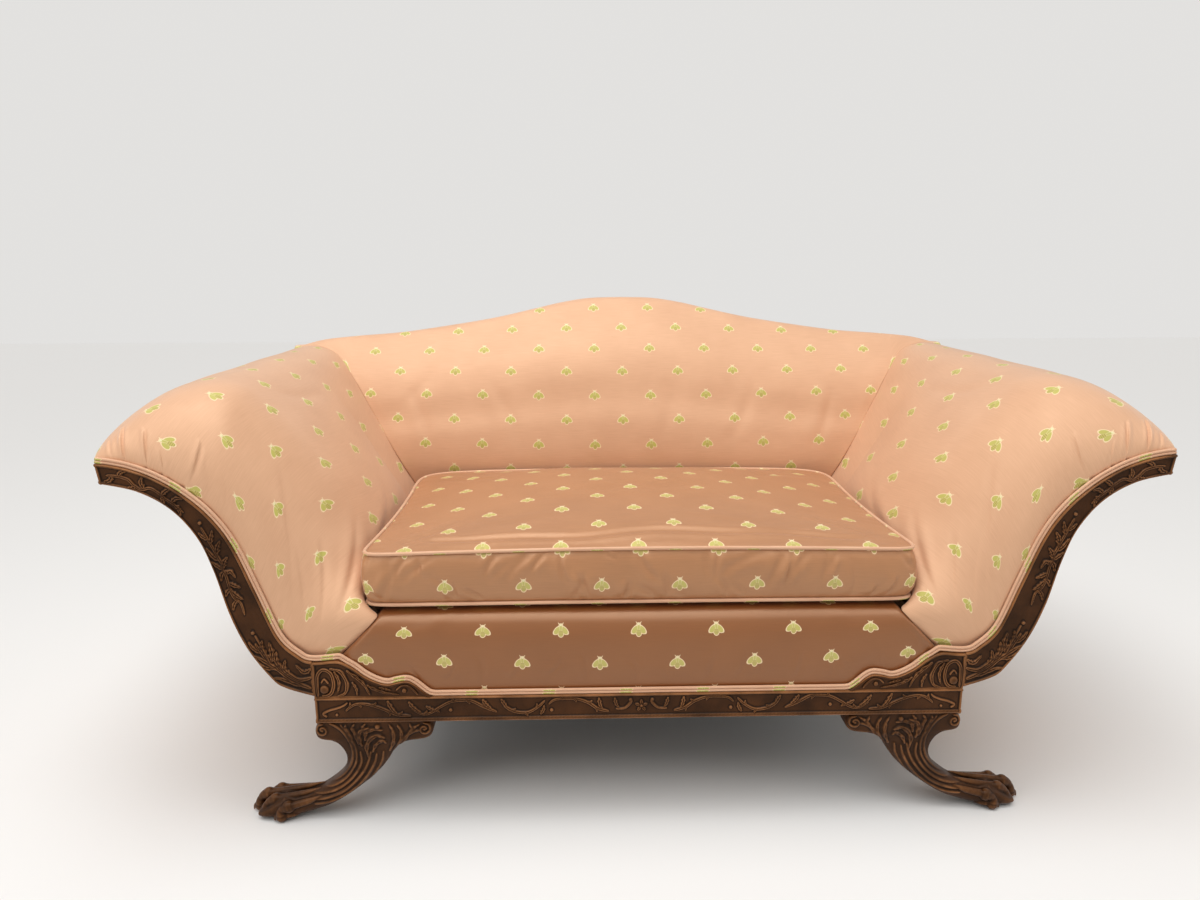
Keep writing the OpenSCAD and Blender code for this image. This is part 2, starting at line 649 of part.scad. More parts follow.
// Top line of the back, as seen from the front
back_top_half = tip_x - back_end_inset;
back_end_h = arm_h + fit_gap;
crest_half_line = curve(place(crest_shares, 0, back_top_half, back_end_h, back_h), 28);
function crest_z(x) = lookup(abs(x), crest_half_line);
function back_thickness(a, top) = back_pad_t * lookup(a / (top - deck_h), back_section_shares);
function back_front_y(z, top) = back_y(z) - back_thickness(top - z, top);
cushion_back_y = min([for (x = [0, seat_half], z = [deck_h + boxing_h / 2, deck_h + boxing_h])
    back_front_y(z, crest_z(x))]) - cushion_back_gap;
crest_steps = 16;
crest_board_share = 0.72;
crest_board_half = lerp(side_inner_x, back_top_half, crest_board_share);
crest_board_top = crest_pad_t + wide_gap;
crest_line = [for (i = [-crest_steps:crest_steps])
    let (x = crest_board_half * i / crest_steps)
    [x, crest_z(x) - crest_board_top]];
// Underside of the crest board, where the posts and uprights end
function crest_foot_z(x) = crest_z(x) - crest_board_top - crest_board_h - fit_gap;

module back_post(s) {
    x0 = side_inner_x;
    x1 = x0 + frame_t;
    color(beech)
        side(s)
            leaning_board([[x0, rail_floor_h], [x1, rail_floor_h], [x1, crest_foot_z(x1)],
                [x0, crest_foot_z(x0)]], 0, back_board_t);
}
module back_post_left() { back_post(-1); }
module back_post_right() { back_post(1); }

module crest_board() {
    lower = [for (p = backwards(crest_line)) p - [0, crest_board_h]];
    color(beech)
        leaning_board(concat(crest_line, lower), 0, back_board_t);
}

lower_back_rail_h = deck_h - back_rail_h / 2;
module lower_back_rail() {
    x = side_inner_x;
    z = lower_back_rail_h;
    color(beech)
        leaning_board([[-x, z], [x, z], [x, z + back_rail_h], [-x, z + back_rail_h]], 0, back_board_t);
}

module back_upright(s) {
    x = side_inner_x / 3;
    w = upright_w / 2;
    z = lower_back_rail_h + back_rail_h;
    top_a = crest_foot_z(x - w) - fit_gap;
    top_b = crest_foot_z(x + w) - fit_gap;
    color(beech)
        side(s)
            leaning_board([[x - w, z], [x + w, z], [x + w, top_b], [x - w, top_a]], 0, back_board_t);
}
module back_upright_left() { back_upright(-1); }
module back_upright_right() { back_upright(1); }

// Straps on the front of the back frame
module back_webbing() {
    n = 8;
    z0 = lower_back_rail_h;
    color(jute)
        for (i = [0:n - 1]) {
            x = (seat_half - web_w) * (2 * i + 1 - n) / (n - 1);
            z1 = crest_foot_z(x) + crest_board_h / 2;
            w = web_w / 2;
            leaning_board([[x - w, z0], [x + w, z0], [x + w, z1], [x - w, z1]], -web_t, 0);
        }
}

// Seat springing
deck_back_y = back_y(deck_h) - back_pad_t * back_section_shares[len(back_section_shares) - 1].y;
deck_front_y = inner_rail_back_y + border_lap + fit_gap;
hessian_h = deck_h - deck_t;
web_start_y = leg_y + leg_t / 2 + fit_gap;

module seat_webbing() {
    z = rail_floor_h - web_t;
    y1 = rear_leg_y;
    x1 = side_inner_x - web_w;
    color(jute)
        union() {
            for (i = [0:seat_webs_deep - 1])
                translate([x1 * (2 * i / (seat_webs_deep - 1) - 1) - web_w / 2, web_start_y, z])
                    cube([web_w, y1 - web_start_y, web_t]);
            for (i = [0:seat_webs_wide - 1])
                translate([-side_inner_x - frame_t / 2,
                        lerp(inner_rail_back_y, y1 - 2 * web_w, i / (seat_webs_wide - 1)), z])
                    cube([2 * side_inner_x + frame_t, web_w, web_t]);
        }
}

// Coil springs as thin hourglass skins with about the mass of the wire
spring_inset_share = 1.5;
module seat_springs() {
    h = hessian_h - hessian_t - rail_floor_h;
    x1 = seat_half - spring_inset_share * spring_r;
    y0 = deck_front_y + spring_r;
    y1 = deck_back_y - spring_r - web_t;
    color("slategray")
        for (i = [0:springs_wide - 1], k = [0:springs_deep - 1])
            translate([x1 * (2 * i / (springs_wide - 1) - 1), lerp(y0, y1, k / (springs_deep - 1)),
                    rail_floor_h])
                rotate_extrude()
                    polygon([[spring_r, 0], [spring_waist_r, h / 2], [spring_r, h],
                        [spring_r - spring_skin_t, h], [spring_waist_r - spring_skin_t, h / 2],
                        [spring_r - spring_skin_t, 0]]);
}

module spring_hessian() {
    color(jute)
        translate([-seat_half + fit_gap, deck_front_y, hessian_h - hessian_t])
            cube([seat_w - 2 * fit_gap, deck_back_y - deck_front_y - fit_gap, hessian_t]);
}

module seat_deck() {
    color(linen)
        translate([-seat_half + fit_gap, deck_front_y, hessian_h])
            cube([seat_w - 2 * fit_gap, deck_back_y - deck_front_y - fit_gap, deck_t]);
}

module dust_cover() {
    x = rail_half - arm_panel_t;
    color(black_cloth)
        translate([-x, web_start_y, rail_floor_h - web_t - dust_cover_t])
            difference() {
                cube([2 * x, back_rear_y(rail_floor_h) - web_start_y, dust_cover_t]);
                for (s = [-1, 1])
                    translate([x + s * (x - rear_leg_w / 2) - rear_leg_w / 2 - fit_gap,
                            rear_leg_y - web_start_y - fit_gap, -dust_cover_t])
                        cube([rear_leg_w + 2 * fit_gap, overall_d, 3 * dust_cover_t]);
            }
}

// Front border: padded roll over the hidden front rail, its foot on the show wood
border_foot_half = wood_edge[0].x;
border_side_cols = [for (i = [1:2:ogee_steps])
    if (ogee[i].x < border_foot_half - bead_w)
        ogee[i].x / border_foot_half];
border_mid_cols = [for (i = [-3:3]) i * border_side_cols[0] / 4];
border_cols = concat([-1], [for (u = backwards(border_side_cols)) -u], border_mid_cols,
    border_side_cols, [1]);
function wood_top_z(x) = max(rail_top_h, lookup(abs(x), ogee));
function border_half(z) =
    lerp(border_foot_half, border_top_half,
        max(0, (z - wood_edge[0].y) / (deck_h - wood_edge[0].y))) - fit_gap;

module front_border() {
    n = len(border_shares);
    depth = inner_rail_back_y + border_lap - pad_front_y;
    m = n * border_flat_share;
    outer = [for (u = border_cols)
        let (z0 = wood_top_z(u * border_foot_half) + wide_gap)
        [for (q = border_shares)
            let (z = lerp(z0, deck_h, q.y))
            [u * border_half(z), pad_front_y + depth * q.x, z]]];
    inner = [for (u = border_cols)
        let (z0 = wood_top_z(u * border_foot_half) + wide_gap)
        [for (i = [0:n - 1])
            let (z = lerp(z0, frame_top_h + fit_gap, min(1, i / m)))
            [u * border_half(z),
                stump_y + (inner_rail_t + border_lap) * max(0, (i - m) / (n - 1 - m)), z]]];
    color(satin)
        slab(outer, inner);
}

// Padded arm: rounds up from the show wood's edge, then runs back as one section
arm_ring_shares = [0, 0.025, 0.08, 0.18, 0.35, 0.62, 1];
arm_back_rings = 6;
arm_round_power = 2.2;
arm_foot_rise_share = 0.68;
arm_edge_rise_share = 0.12;
arm_foot_round_share = 0.2;
arm_foot_steps = 5;
arm_swell_l_share = 0.85;
arm_swell_l = arm_swell_l_share * (cushion_back_y - pad_front_y);
inner_crest_step = 12;
outer_crest_step = 15;

// How far the padding has risen at step i of the section and a given depth
function arm_rise(i, depth) =
    let (l = arm_round_l * lerp(arm_foot_round_share, 1, smooth(i / arm_foot_steps)))
    let (g0 = lerp(arm_foot_rise_share, arm_edge_rise_share, smooth(i / arm_foot_steps)))
    let (u = 1 - min(1, depth / l))
    lerp(g0, 1, pow(1 - pow(u, arm_round_power), 1 / arm_round_power));
function arm_swell_at(i, depth) =
    let (v = arm_profile[min(i + 1, arm_steps)] - arm_profile[max(i - 1, 0)])
    let (share = smooth((i - 1) / 3) * smooth((inner_crest_step - 2 - i) / arm_foot_steps))
    arm_swell * share * sin(180 * min(1, depth / arm_swell_l)) * [-v.y, v.x] / norm(v);
function arm_point(i, depth) =
    let (foot = smooth(depth / (arm_round_l * arm_foot_round_share) - arm_foot_round_share))
    let (foot_x = lerp(border_top_half, seat_half, foot))
    let (p = arm_profile[i], x = i < root_step ? lerp(foot_x, p.x, i / root_step) : p.x)
    lerp(wood_edge[i] + [0, fit_gap], [x, p.y] + arm_swell_at(i, depth), arm_rise(i, depth));
function arm_rear_y(p, i) = back_y(p.y) - fit_gap
    + back_board_t * smooth((i - inner_crest_step) / (outer_crest_step - inner_crest_step));
function arm_inner_point(i) =
    i == 0 ? lerp(wood_edge[0] + [0, fit_gap], arm_profile[0], arm_frame_share) : arm_frame_edge[i];

module arm_pad(s) {
    depths = [for (q = arm_ring_shares) q * arm_round_l];
    n = len(depths);
    front_outer = [for (d = depths)
        [for (i = [0:arm_steps]) let (p = arm_point(i, d)) [p.x, pad_front_y + d, p.y]]];
    rear_outer = [for (k = [1:arm_back_rings])
        [for (i = [0:arm_steps])
            let (q = arm_profile[i], y0 = pad_front_y + arm_round_l)
            let (y = lerp(y0, arm_rear_y(q, i), k / arm_back_rings), p = arm_point(i, y - pad_front_y))
            [p.x, y, p.y]]];
    inner_front = [for (k = [0:n - 1])
        [for (i = [0:arm_steps])
            let (w = wood_edge[i] + [0, fit_gap], f = arm_inner_point(i))
            let (y = k == 0 ? pad_front_y : k < 3 ? stump_y - fit_gap : pad_front_y + depths[k])
            let (p = k < 2 ? w : f)
            [p.x, y, p.y]]];
    inner_rear = [for (k = [1:arm_back_rings])
        [for (i = [0:arm_steps])
            let (p = arm_inner_point(i), y = pad_front_y + arm_round_l)
            [p.x, lerp(y, arm_rear_y(p, i), k / arm_back_rings), p.y]]];
    color(satin)
        side(s)
            slab(concat(inner_front, inner_rear), concat(front_outer, rear_outer));
}
module arm_pad_left() { arm_pad(-1); }
module arm_pad_right() { arm_pad(1); }

// Covered board that closes the outside of each arm
module outside_arm(s) {
    color(satin)
        side(s)
            difference() {
                upright(concat(outside_line, backwards(beside(outside_line, arm_panel_t))),
                    stump_y, rear_y + overrun);
                leaning_slab(back_board_t, overall_d);
            }
}
module outside_arm_left() { outside_arm(-1); }
module outside_arm_right() { outside_arm(1); }

// Padded back: one section set out along the top line, cut below by deck and arms
back_foot = [for (i = [0:outer_crest_step]) arm_profile[i] + [-fit_gap, fit_gap]];
back_mid_cols = 10;
back_cols = concat(mirrored(back_foot),
    [for (i = [1:back_mid_cols - 1])
        [lerp(-back_foot[0].x, back_foot[0].x, i / back_mid_cols), back_foot[0].y]],
    back_foot);
back_front_points = 10;
back_row_power = 1.35;
roll_lap_share = 0.9;

module back_pad() {
    outer = [for (c = back_cols)
        let (top = crest_z(c.x), a1 = top - c.y, lap = min(crest_pad_t, a1 * roll_lap_share))
        concat(
            [for (i = [back_front_points - 1:-1:0])
                let (a = a1 * pow(i / (back_front_points - 1), back_row_power), z = top - a)
                [c.x, back_front_y(z, top), z]],
            [for (q = roll_shares)
                let (z = top - lap * q.y)
                [c.x, back_y(z) + back_board_t * q.x, z]])];
    inner = [for (c = back_cols)
        let (top = crest_z(c.x), a1 = top - c.y, lap = min(crest_pad_t, a1 * roll_lap_share))
        concat(
            [for (i = [back_front_points - 1:-1:0])
                let (a = lerp(lap, a1, pow(i / (back_front_points - 1), back_row_power)), z = top - a)
                [c.x, back_y(z) - web_t - fit_gap, z]],
            [for (i = [0:len(roll_shares) - 1])
                let (z = top - lap + fit_gap)
                [c.x, back_y(z) + back_board_t * (i + 1) / len(roll_shares), z]])];
    color(satin)
        slab(outer, inner);
}

// Covered board behind the back, with the settee's whole rear outline
nose_share = 0.9;
module outside_back() {
    nose = [for (i = [arm_steps:-1:outer_crest_step + 1])
        lerp(wood_edge[i], arm_profile[i], nose_share)];
    end = concat([[rail_half - arm_panel_t, rail_floor_h]], facing_outer, nose);
    top = [for (c = backwards(back_cols)) [c.x, crest_z(c.x) - crest_pad_t - 2 * fit_gap]];
    color(satin)
        leaning_board(concat(end, top, mirrored(end)), back_board_t, back_board_t + back_panel_t);
}

// Double welt along the whole edge of the show wood
welt_line = concat([for (p = ogee) if (p.x < wood_edge[0].x - 2 * welt_d) p], wood_edge);
welt_rim_share = 0.2;
module double_welt() {
    half = concat([[0, rail_top_h]], welt_line);
    line = concat(mirrored(half), part_of(half, 1, len(half) - 1));
    color(satin)
        for (k = [0, 1]) {
            low = k * welt_d;
            rim = welt_d * welt_rim_share;
            upright(concat(beside(line, low + fit_gap), backwards(beside(line, low + welt_d))),
                pad_front_y - welt_d / 2, pad_front_y - 2 * fit_gap);
            upright(concat(beside(line, low + rim), backwards(beside(line, low + welt_d - rim))),
                pad_front_y - welt_d + rim, pad_front_y - welt_d / 2);
        }
}

// Loose box cushion: crown, swelling boxing and sides drawn in between the corners
cushion_points = 44;
cushion_w = seat_w - 2 * cushion_side_gap;
cushion_d = cushion_back_y - boxing_swell - front_y - cushion_setback;
cushion_y = front_y + cushion_setback + cushion_d / 2;
cushion_bottom_h = deck_h + fit_gap;
bottom_seam_h = deck_h + seam_rise;
front_corner_power = 26;
rear_corner_power = 9;
corner_swell_share = 0.75;
front_rise_share = 0.07;
front_draw_share = 0.25;
under_shares = [[0.5, 0], [0.93, 0], [0.985, 0.4]];
crown_power = 3;
crown_ring_shares = [0.96, 0.88, 0.76, 0.6, 0.42, 0.22];
boxing_shares = [[0, 0], [0.55, 0.14], [0.95, 0.36], [1, 0.58], [0.7, 0.82], [0, 1]];
rear_seam_drop = 4;

// Even steps round a square of half side 1, closer at its corners, clockwise from its right side
function square_point(t) =
    let (k = floor(t), u = 2 * (t - k) - 1, w = (u + sin(90 * u)) / 2)
    k == 0 ? [1, -w] : k == 1 ? [-w, -1] : k == 2 ? [-1, w] : [w, 1];
function cushion_unit(i) =
    let (q = square_point(4 * (i + 0.5) / cushion_points))
    let (e = q.y < 0 ? front_corner_power : rear_corner_power)
    q / pow(pow(abs(q.x), e) + pow(abs(q.y), e), 1 / e);
function cushion_point(i, r, swell) =
    let (u = cushion_unit(i), v = 1 - u.y * u.y, h = 1 - u.x * u.x)
    [u.x * (r * (cushion_w / 2 - side_draw * v) + swell * lerp(corner_swell_share, 1, v)),
        cushion_y + u.y * (r * (cushion_d / 2 - front_draw_share * side_draw * h) + swell)];
function crown(i, r) =
    let (u = cushion_unit(i) * r)
    (1 - pow(abs(u.x), crown_power)) * (1 - pow(abs(u.y), crown_power));
function top_seam_z(i) =
    let (u = cushion_unit(i))
    bottom_seam_h + boxing_h * (1 + front_rise_share * (1 - u.x * u.x)) - rear_seam_drop * (1 + u.y) / 2;

module seat_cushion() {
    n = cushion_points - 1;
    middle_h = bottom_seam_h + boxing_h * (1 + front_rise_share);
    crown_z = bottom_seam_h + boxing_h + crown_h;
    under = [for (q = under_shares)
        [for (i = [0:n])
            let (p = cushion_point(i, q.x, 0))
            [p.x, p.y, lerp(cushion_bottom_h, bottom_seam_h, q.y)]]];
    boxing = [for (q = boxing_shares)
        [for (i = [0:n])
            let (p = cushion_point(i, 1, boxing_swell * q.x))
            [p.x, p.y, lerp(bottom_seam_h, top_seam_z(i), q.y)]]];
    top = [for (r = crown_ring_shares)
        [for (i = [0:n])
            let (p = cushion_point(i, r, 0))
            [p.x, p.y, lerp(middle_h, top_seam_z(i), r) + (crown_z - middle_h) * crown(i, r)]]];
    cap = [[for (i = [0:n])
        let (p = cushion_point(i, crown_ring_shares[5] / 3, 0)) [p.x, p.y, crown_z]]];
    color(satin)
        stack(concat(under, boxing, top, cap));
}

// Welt: a cord in the seam all round the cushion
welt_sides = 6;
module cushion_welt(top) {
    r = cushion_welt_d / 2;
    n = cushion_points;
    rings = [for (i = [0:n])
        let (j = i % n, z = top ? top_seam_z(j) : bottom_seam_h)
        let (a = cushion_point((j + n - 1) % n, 1, r), b = cushion_point((j + 1) % n, 1, r))
        let (c = cushion_point(j, 1, r), d = (b - a) / norm(b - a))
        [for (k = [0:welt_sides - 1])
            let (w = 360 * (k + 0.5) / welt_sides)
            [c.x - d.y * r * cos(w), c.y + d.x * r * cos(w), z + r * sin(w)]]];
    points = flat([for (i = [0:n - 1]) rings[i]]);
    faces = [for (i = [0:n - 1], k = [0:welt_sides - 1])
        let (m = welt_sides, i1 = (i + 1) % n, k1 = (k + 1) % m)
        each [[i * m + k, i1 * m + k, i1 * m + k1], [i * m + k, i1 * m + k1, i * m + k1]]];
    color(satin)
        polyhedron(points, faces);
}
module cushion_welt_top() { cushion_welt(true); }
module cushion_welt_bottom() { cushion_welt(false); }

front_rail();
spandrel_left();
spandrel_right();
arm_facing_left();
arm_facing_right();
front_leg_left();
front_leg_right();
rear_leg_left();
rear_leg_right();
inner_front_rail();
side_rail_left();
side_rail_right();
rear_rail();
seat_brace();
corner_block_front_left();
corner_block_front_right();
corner_block_rear_left();
corner_block_rear_right();
leg_bolts();
arm_stump_left();
arm_stump_right();
arm_back_board_left();
arm_back_board_right();
arm_top_rail_left();
arm_top_rail_right();
arm_slat_left();
arm_slat_right();
back_post_left();
back_post_right();
crest_board();
lower_back_rail();
back_upright_left();
back_upright_right();
back_webbing();
seat_webbing();
seat_springs();
spring_hessian();
seat_deck();
dust_cover();
front_border();
arm_pad_left();
arm_pad_right();
outside_arm_left();
outside_arm_right();
back_pad();
outside_back();
double_welt();
seat_cushion();
cushion_welt_top();
cushion_welt_bottom();
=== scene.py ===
import math
import bpy
import bmesh
import numpy as np
from mathutils import Matrix, Vector


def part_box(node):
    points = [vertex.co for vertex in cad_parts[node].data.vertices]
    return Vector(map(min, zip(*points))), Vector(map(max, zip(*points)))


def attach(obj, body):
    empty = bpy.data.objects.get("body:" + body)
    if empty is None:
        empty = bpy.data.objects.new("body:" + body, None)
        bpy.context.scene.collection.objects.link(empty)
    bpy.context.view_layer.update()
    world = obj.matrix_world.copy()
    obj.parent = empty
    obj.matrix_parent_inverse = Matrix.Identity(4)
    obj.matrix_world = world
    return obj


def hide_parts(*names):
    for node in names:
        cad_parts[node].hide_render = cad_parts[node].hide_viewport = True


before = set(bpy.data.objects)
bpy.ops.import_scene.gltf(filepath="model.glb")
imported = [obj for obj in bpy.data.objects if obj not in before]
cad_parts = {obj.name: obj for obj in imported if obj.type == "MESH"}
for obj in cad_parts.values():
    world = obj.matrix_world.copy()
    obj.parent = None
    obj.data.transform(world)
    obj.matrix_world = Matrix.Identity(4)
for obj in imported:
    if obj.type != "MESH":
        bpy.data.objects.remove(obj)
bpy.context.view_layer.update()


# Studio: a pale floor and backdrop, a soft lamp over the seat, two at the sides and high daylight.
# The camera stands where the photograph was taken, a little left of the middle, looking down.
yaw, pitch, roll = math.radians(1.36), math.radians(12.48), math.radians(0.19)
ahead = Vector((math.sin(yaw) * math.cos(pitch), math.cos(yaw) * math.cos(pitch), -math.sin(pitch)))
level = Vector((math.cos(yaw), -math.sin(yaw), 0))
down = ahead.cross(level)
right = math.cos(roll) * level + math.sin(roll) * down
down = math.cos(roll) * down - math.sin(roll) * level
camera = bpy.data.objects.new("camera", bpy.data.cameras.new("camera"))
camera.data.sensor_width = 36
camera.data.lens = 26.1
turned = Matrix((right, -down, -ahead)).transposed().to_4x4()
camera.matrix_world = Matrix.Translation((-0.106, -1.856, 1.009)) @ turned
bpy.context.scene.collection.objects.link(camera)
bpy.context.scene.camera = camera
bpy.context.scene.view_settings.view_transform = "Standard"


def soft_lamp(name, place, target, width, height, watts):
    lamp = bpy.data.objects.new(name, bpy.data.lights.new(name, "AREA"))
    lamp.data.shape = "RECTANGLE"
    lamp.data.size = width
    lamp.data.size_y = height
    lamp.data.energy = watts
    lamp.location = place
    lamp.rotation_euler = (Vector(target) - Vector(place)).to_track_quat("-Z", "Y").to_euler()
    bpy.context.scene.collection.objects.link(lamp)


soft_lamp("lamp_above", (-0.4, -0.45, 2.7), (0, 0, 0.4), 1.8, 0.9, 19)
soft_lamp("lamp_left", (-3.0, -2.4, 1.7), (0, 0, 0.4), 1.6, 1.6, 16)
soft_lamp("lamp_right", (3.2, -1.6, 1.9), (0, 0, 0.4), 1.6, 1.6, 11)
daylight = bpy.data.objects.new("daylight", bpy.data.lights.new("daylight", "SUN"))
daylight.data.energy = 2.05
daylight.data.angle = math.radians(70)
daylight.rotation_euler = (math.radians(14), math.radians(-8), 0)
bpy.context.scene.collection.objects.link(daylight)

world = bpy.data.worlds.new("studio")
bpy.context.scene.world = world
world.use_nodes = True
sky = world.node_tree.nodes
sky.clear()
seen = sky.new("ShaderNodeLightPath")
shown = sky.new("ShaderNodeMath")
shown.operation = "MAXIMUM"
any_seen = sky.new("ShaderNodeMath")
any_seen.operation = "MAXIMUM"
room = sky.new("ShaderNodeBackground")
room.inputs["Color"].default_value = (1, 0.98, 0.95, 1)
room.inputs["Strength"].default_value = 0.3
backdrop = sky.new("ShaderNodeBackground")
backdrop.inputs["Color"].default_value = (0.765, 0.755, 0.74, 1)
either = sky.new("ShaderNodeMixShader")
sky_out = sky.new("ShaderNodeOutputWorld")
join_sky = world.node_tree.links.new
join_sky(seen.outputs["Is Camera Ray"], shown.inputs[0])
join_sky(seen.outputs["Is Glossy Ray"], shown.inputs[1])
join_sky(shown.outputs[0], any_seen.inputs[0])
join_sky(seen.outputs["Is Transmission Ray"], any_seen.inputs[1])
join_sky(any_seen.outputs[0], either.inputs[0])
join_sky(room.outputs[0], either.inputs[1])
join_sky(backdrop.outputs[0], either.inputs[2])
join_sky(either.outputs[0], sky_out.inputs[0])


def start_finish(name, colour, roughness):
    """A new material, its shader, and a function that adds a node linked to the sockets or values given."""
    finish = bpy.data.materials.new(name)
    finish.use_nodes = True
    tree = finish.node_tree
    shader = tree.nodes["Principled BSDF"]
    shader.inputs["Base Color"].default_value = (*colour, 1)
    shader.inputs["Roughness"].default_value = roughness

    def add(kind, *given, out=0, **settings):
        node = tree.nodes.new("ShaderNode" + kind)
        for key, value in settings.items():
            setattr(node, key, value)
        for socket, value in zip(node.inputs, given):
            if isinstance(value, bpy.types.NodeSocket):
                tree.links.new(value, socket)
            elif value is not None:
                socket.default_value = value
        return node.outputs[out]

    def into(socket, value):
        tree.links.new(value, shader.inputs[socket])

    return finish, shader, add, into


def mixed(add, share, first, second):
    """Colour between first and second; either may be a plain colour or a socket."""
    pair = [(*c, 1) if isinstance(c, tuple) else c for c in (first, second)]
    node = add("Mix", data_type="RGBA", out=2).node
    for socket, value in zip((node.inputs["Factor"], node.inputs[6], node.inputs[7]), (share, *pair)):
        if isinstance(value, bpy.types.NodeSocket):
            node.id_data.links.new(value, socket)
        else:
            socket.default_value = value
    return node.outputs[2]


floor_finish, shader, add, into = start_finish("floor_paint", (0.8, 0.79, 0.775), 0.9)
shader.inputs["Specular IOR Level"].default_value = 0.1
floor_mesh = bpy.data.meshes.new("floor")
corners = [(x, y, -0.0005) for x, y in ((-9, -9), (9, -9), (9, 9), (-9, 9))]
floor_mesh.from_pydata(corners, [], [(0, 1, 2, 3)])
floor_mesh.materials.append(floor_finish)
floor = bpy.data.objects.new("floor", floor_mesh)
bpy.context.scene.collection.objects.link(floor)


# Hidden frame: rails, posts, boards and blocks of steamed beech, sawn and planed, glued and dowelled.
# Pale brown, with long grain lines and the short dark flecks that beech shows.
beech, shader, add, into = start_finish("sawn_beech", (0.56, 0.36, 0.2), 0.62)
place = add("TexCoord", out=3)
stretch = add("Mapping", place, None, None, (9.0, 70.0, 70.0))
grain = add("TexNoise", stretch, None, 1.0, 6.0)
flecks = add("TexNoise", add("Mapping", place, None, None, (90.0, 900.0, 900.0)), None, 1.0, 2.0)
speck = add("MapRange", flecks, 0.62, 0.72, 0.0, 0.55)
wood = mixed(add, grain, (0.47, 0.28, 0.15), (0.66, 0.45, 0.27))
into("Base Color", mixed(add, speck, wood, (0.26, 0.13, 0.06)))
into("Normal", add("Bump", 0.25, 0.0004, None, grain))


def dress(name, finish):
    """Gives a solid carried over from the source its finish."""
    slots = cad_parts[name].data.materials
    slots.clear()
    slots.append(finish)


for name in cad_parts:
    if name.startswith(("inner_", "side_", "rear_rail", "seat_brace", "corner_", "arm_stump", "arm_back_board",
                        "arm_top_rail", "arm_slat", "back_post", "crest_board", "lower_back", "back_upright")):
        dress(name, beech)

# Hanger bolts: plain steel rod, threaded up into the frame and down into the legs.
# They hold the legs on and are out of sight once the seat is closed underneath.
steel, shader, add, into = start_finish("drawn_steel", (0.32, 0.33, 0.34), 0.38)
shader.inputs["Metallic"].default_value = 1
scale = add("TexNoise", add("TexCoord", out=3), None, 240.0, 4.0)
into("Base Color", mixed(add, scale, (0.2, 0.2, 0.21), (0.45, 0.46, 0.48)))
into("Roughness", add("MapRange", scale, 0.0, 1.0, 0.28, 0.5))
dress("leg_bolts", steel)


# Seat springing: hourglass coil springs stand on jute webbing, with hessian stretched over them.
# Each spring is one steel wire of six turns, its end coils closed and lying flat.
def lerp(a, b, t):
    return a + (b - a) * t


def smooth(t):
    u = np.clip(t, 0, 1)
    return u * u * (3 - 2 * u)


def make_piece(name, points, faces, finish, slot, body="settee", stands_for=(), weave=None, sharp=False):
    """Closed mesh piece, with its weave coordinates in metres."""
    mesh = bpy.data.meshes.new(name)
    mesh.from_pydata(np.asarray(points, float).reshape(-1, 3).tolist(), [], faces)
    if weave is not None:
        corner = np.zeros(len(mesh.loops), int)
        mesh.loops.foreach_get("vertex_index", corner)
        layer = mesh.uv_layers.new(name="weave")
        layer.data.foreach_set("uv", np.asarray(weave, float).reshape(-1, 2)[corner].ravel())
    whole = bmesh.new()
    whole.from_mesh(mesh)
    bmesh.ops.recalc_face_normals(whole, faces=whole.faces)
    whole.to_mesh(mesh)
    whole.free()
    mesh.materials.append(finish)
    mesh.shade_smooth()
    if sharp:
        mesh.set_sharp_from_angle(angle=math.radians(40))
    piece = bpy.data.objects.new(name, mesh)
    bpy.context.scene.collection.objects.link(piece)
    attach(piece, body)
    if stands_for:
        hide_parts(*stands_for)
    return piece


def ring_faces(rings, sides, closed=False):
    """Faces of a skin over rings of points, shut at both ends unless the last ring joins the first."""
    number = np.arange(rings * sides).reshape(rings, sides)
    one, two = (number, np.roll(number, -1, 0)) if closed else (number[:-1], number[1:])
    faces = np.stack([one, np.roll(one, -1, 1), np.roll(two, -1, 1), two], -1).reshape(-1, 4).tolist()
    return faces if closed else faces + [number[0].tolist(), number[-1].tolist()]


def tube(path, radius, sides=10, closed=False):
    """Points and faces of a round tube along path."""
    p = np.asarray(path, float)
    n = len(p)
    way = np.roll(p, -1, 0) - np.roll(p, 1, 0) if closed else np.gradient(p, axis=0)
    way /= np.linalg.norm(way, axis=1)[:, None]
    across = np.cross(way[0], (0.31, 0.27, 0.91))
    spans = []
    for t in way:
        across = across - t * np.dot(across, t)
        across /= np.linalg.norm(across)
        spans.append(across)
    spans = np.array(spans)
    other = np.cross(way, spans)
    turn = (np.arange(sides) * 2 * math.pi / sides)[:, None]
    r = np.broadcast_to(np.asarray(radius, float), (n,))[:, None, None]
    ring = p[:, None] + r * (np.cos(turn) * spans[:, None] + np.sin(turn) * other[:, None])
    return ring.reshape(-1, 3), ring_faces(n, sides, closed)


def many(parts):
    """Joins points and faces of several tubes or shells into one list of each."""
    points, faces, count = [], [], 0
    for p, f in parts:
        points.append(np.asarray(p).reshape(-1, 3))
        faces += [[i + count for i in face] for face in f]
        count += len(points[-1])
    return np.concatenate(points), faces


low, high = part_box("seat_springs")
spring_r, spring_waist_r, wire_r = 0.044, 0.027, 0.0019
turn = np.linspace(0, 1, 6 * 18 + 1)
lift = np.clip((turn - 0.11) / 0.78, 0, 1)
spring_h = high[2] - low[2] - 2 * wire_r
reach = spring_waist_r + (spring_r - wire_r - spring_waist_r) * np.abs(2 * lift - 1) ** 1.4
coil = np.stack([reach * np.cos(12 * math.pi * turn), reach * np.sin(12 * math.pi * turn),
                 wire_r + spring_h * lift], -1)
coils = []
for x in np.linspace(low[0] + spring_r, high[0] - spring_r, 6):
    for y in np.linspace(low[1] + spring_r, high[1] - spring_r, 4):
        coils.append(tube(coil + (x, y, low[2]), wire_r, 6))
make_piece("coil_springs", *many(coils), steel, "steel", stands_for=["seat_springs"])

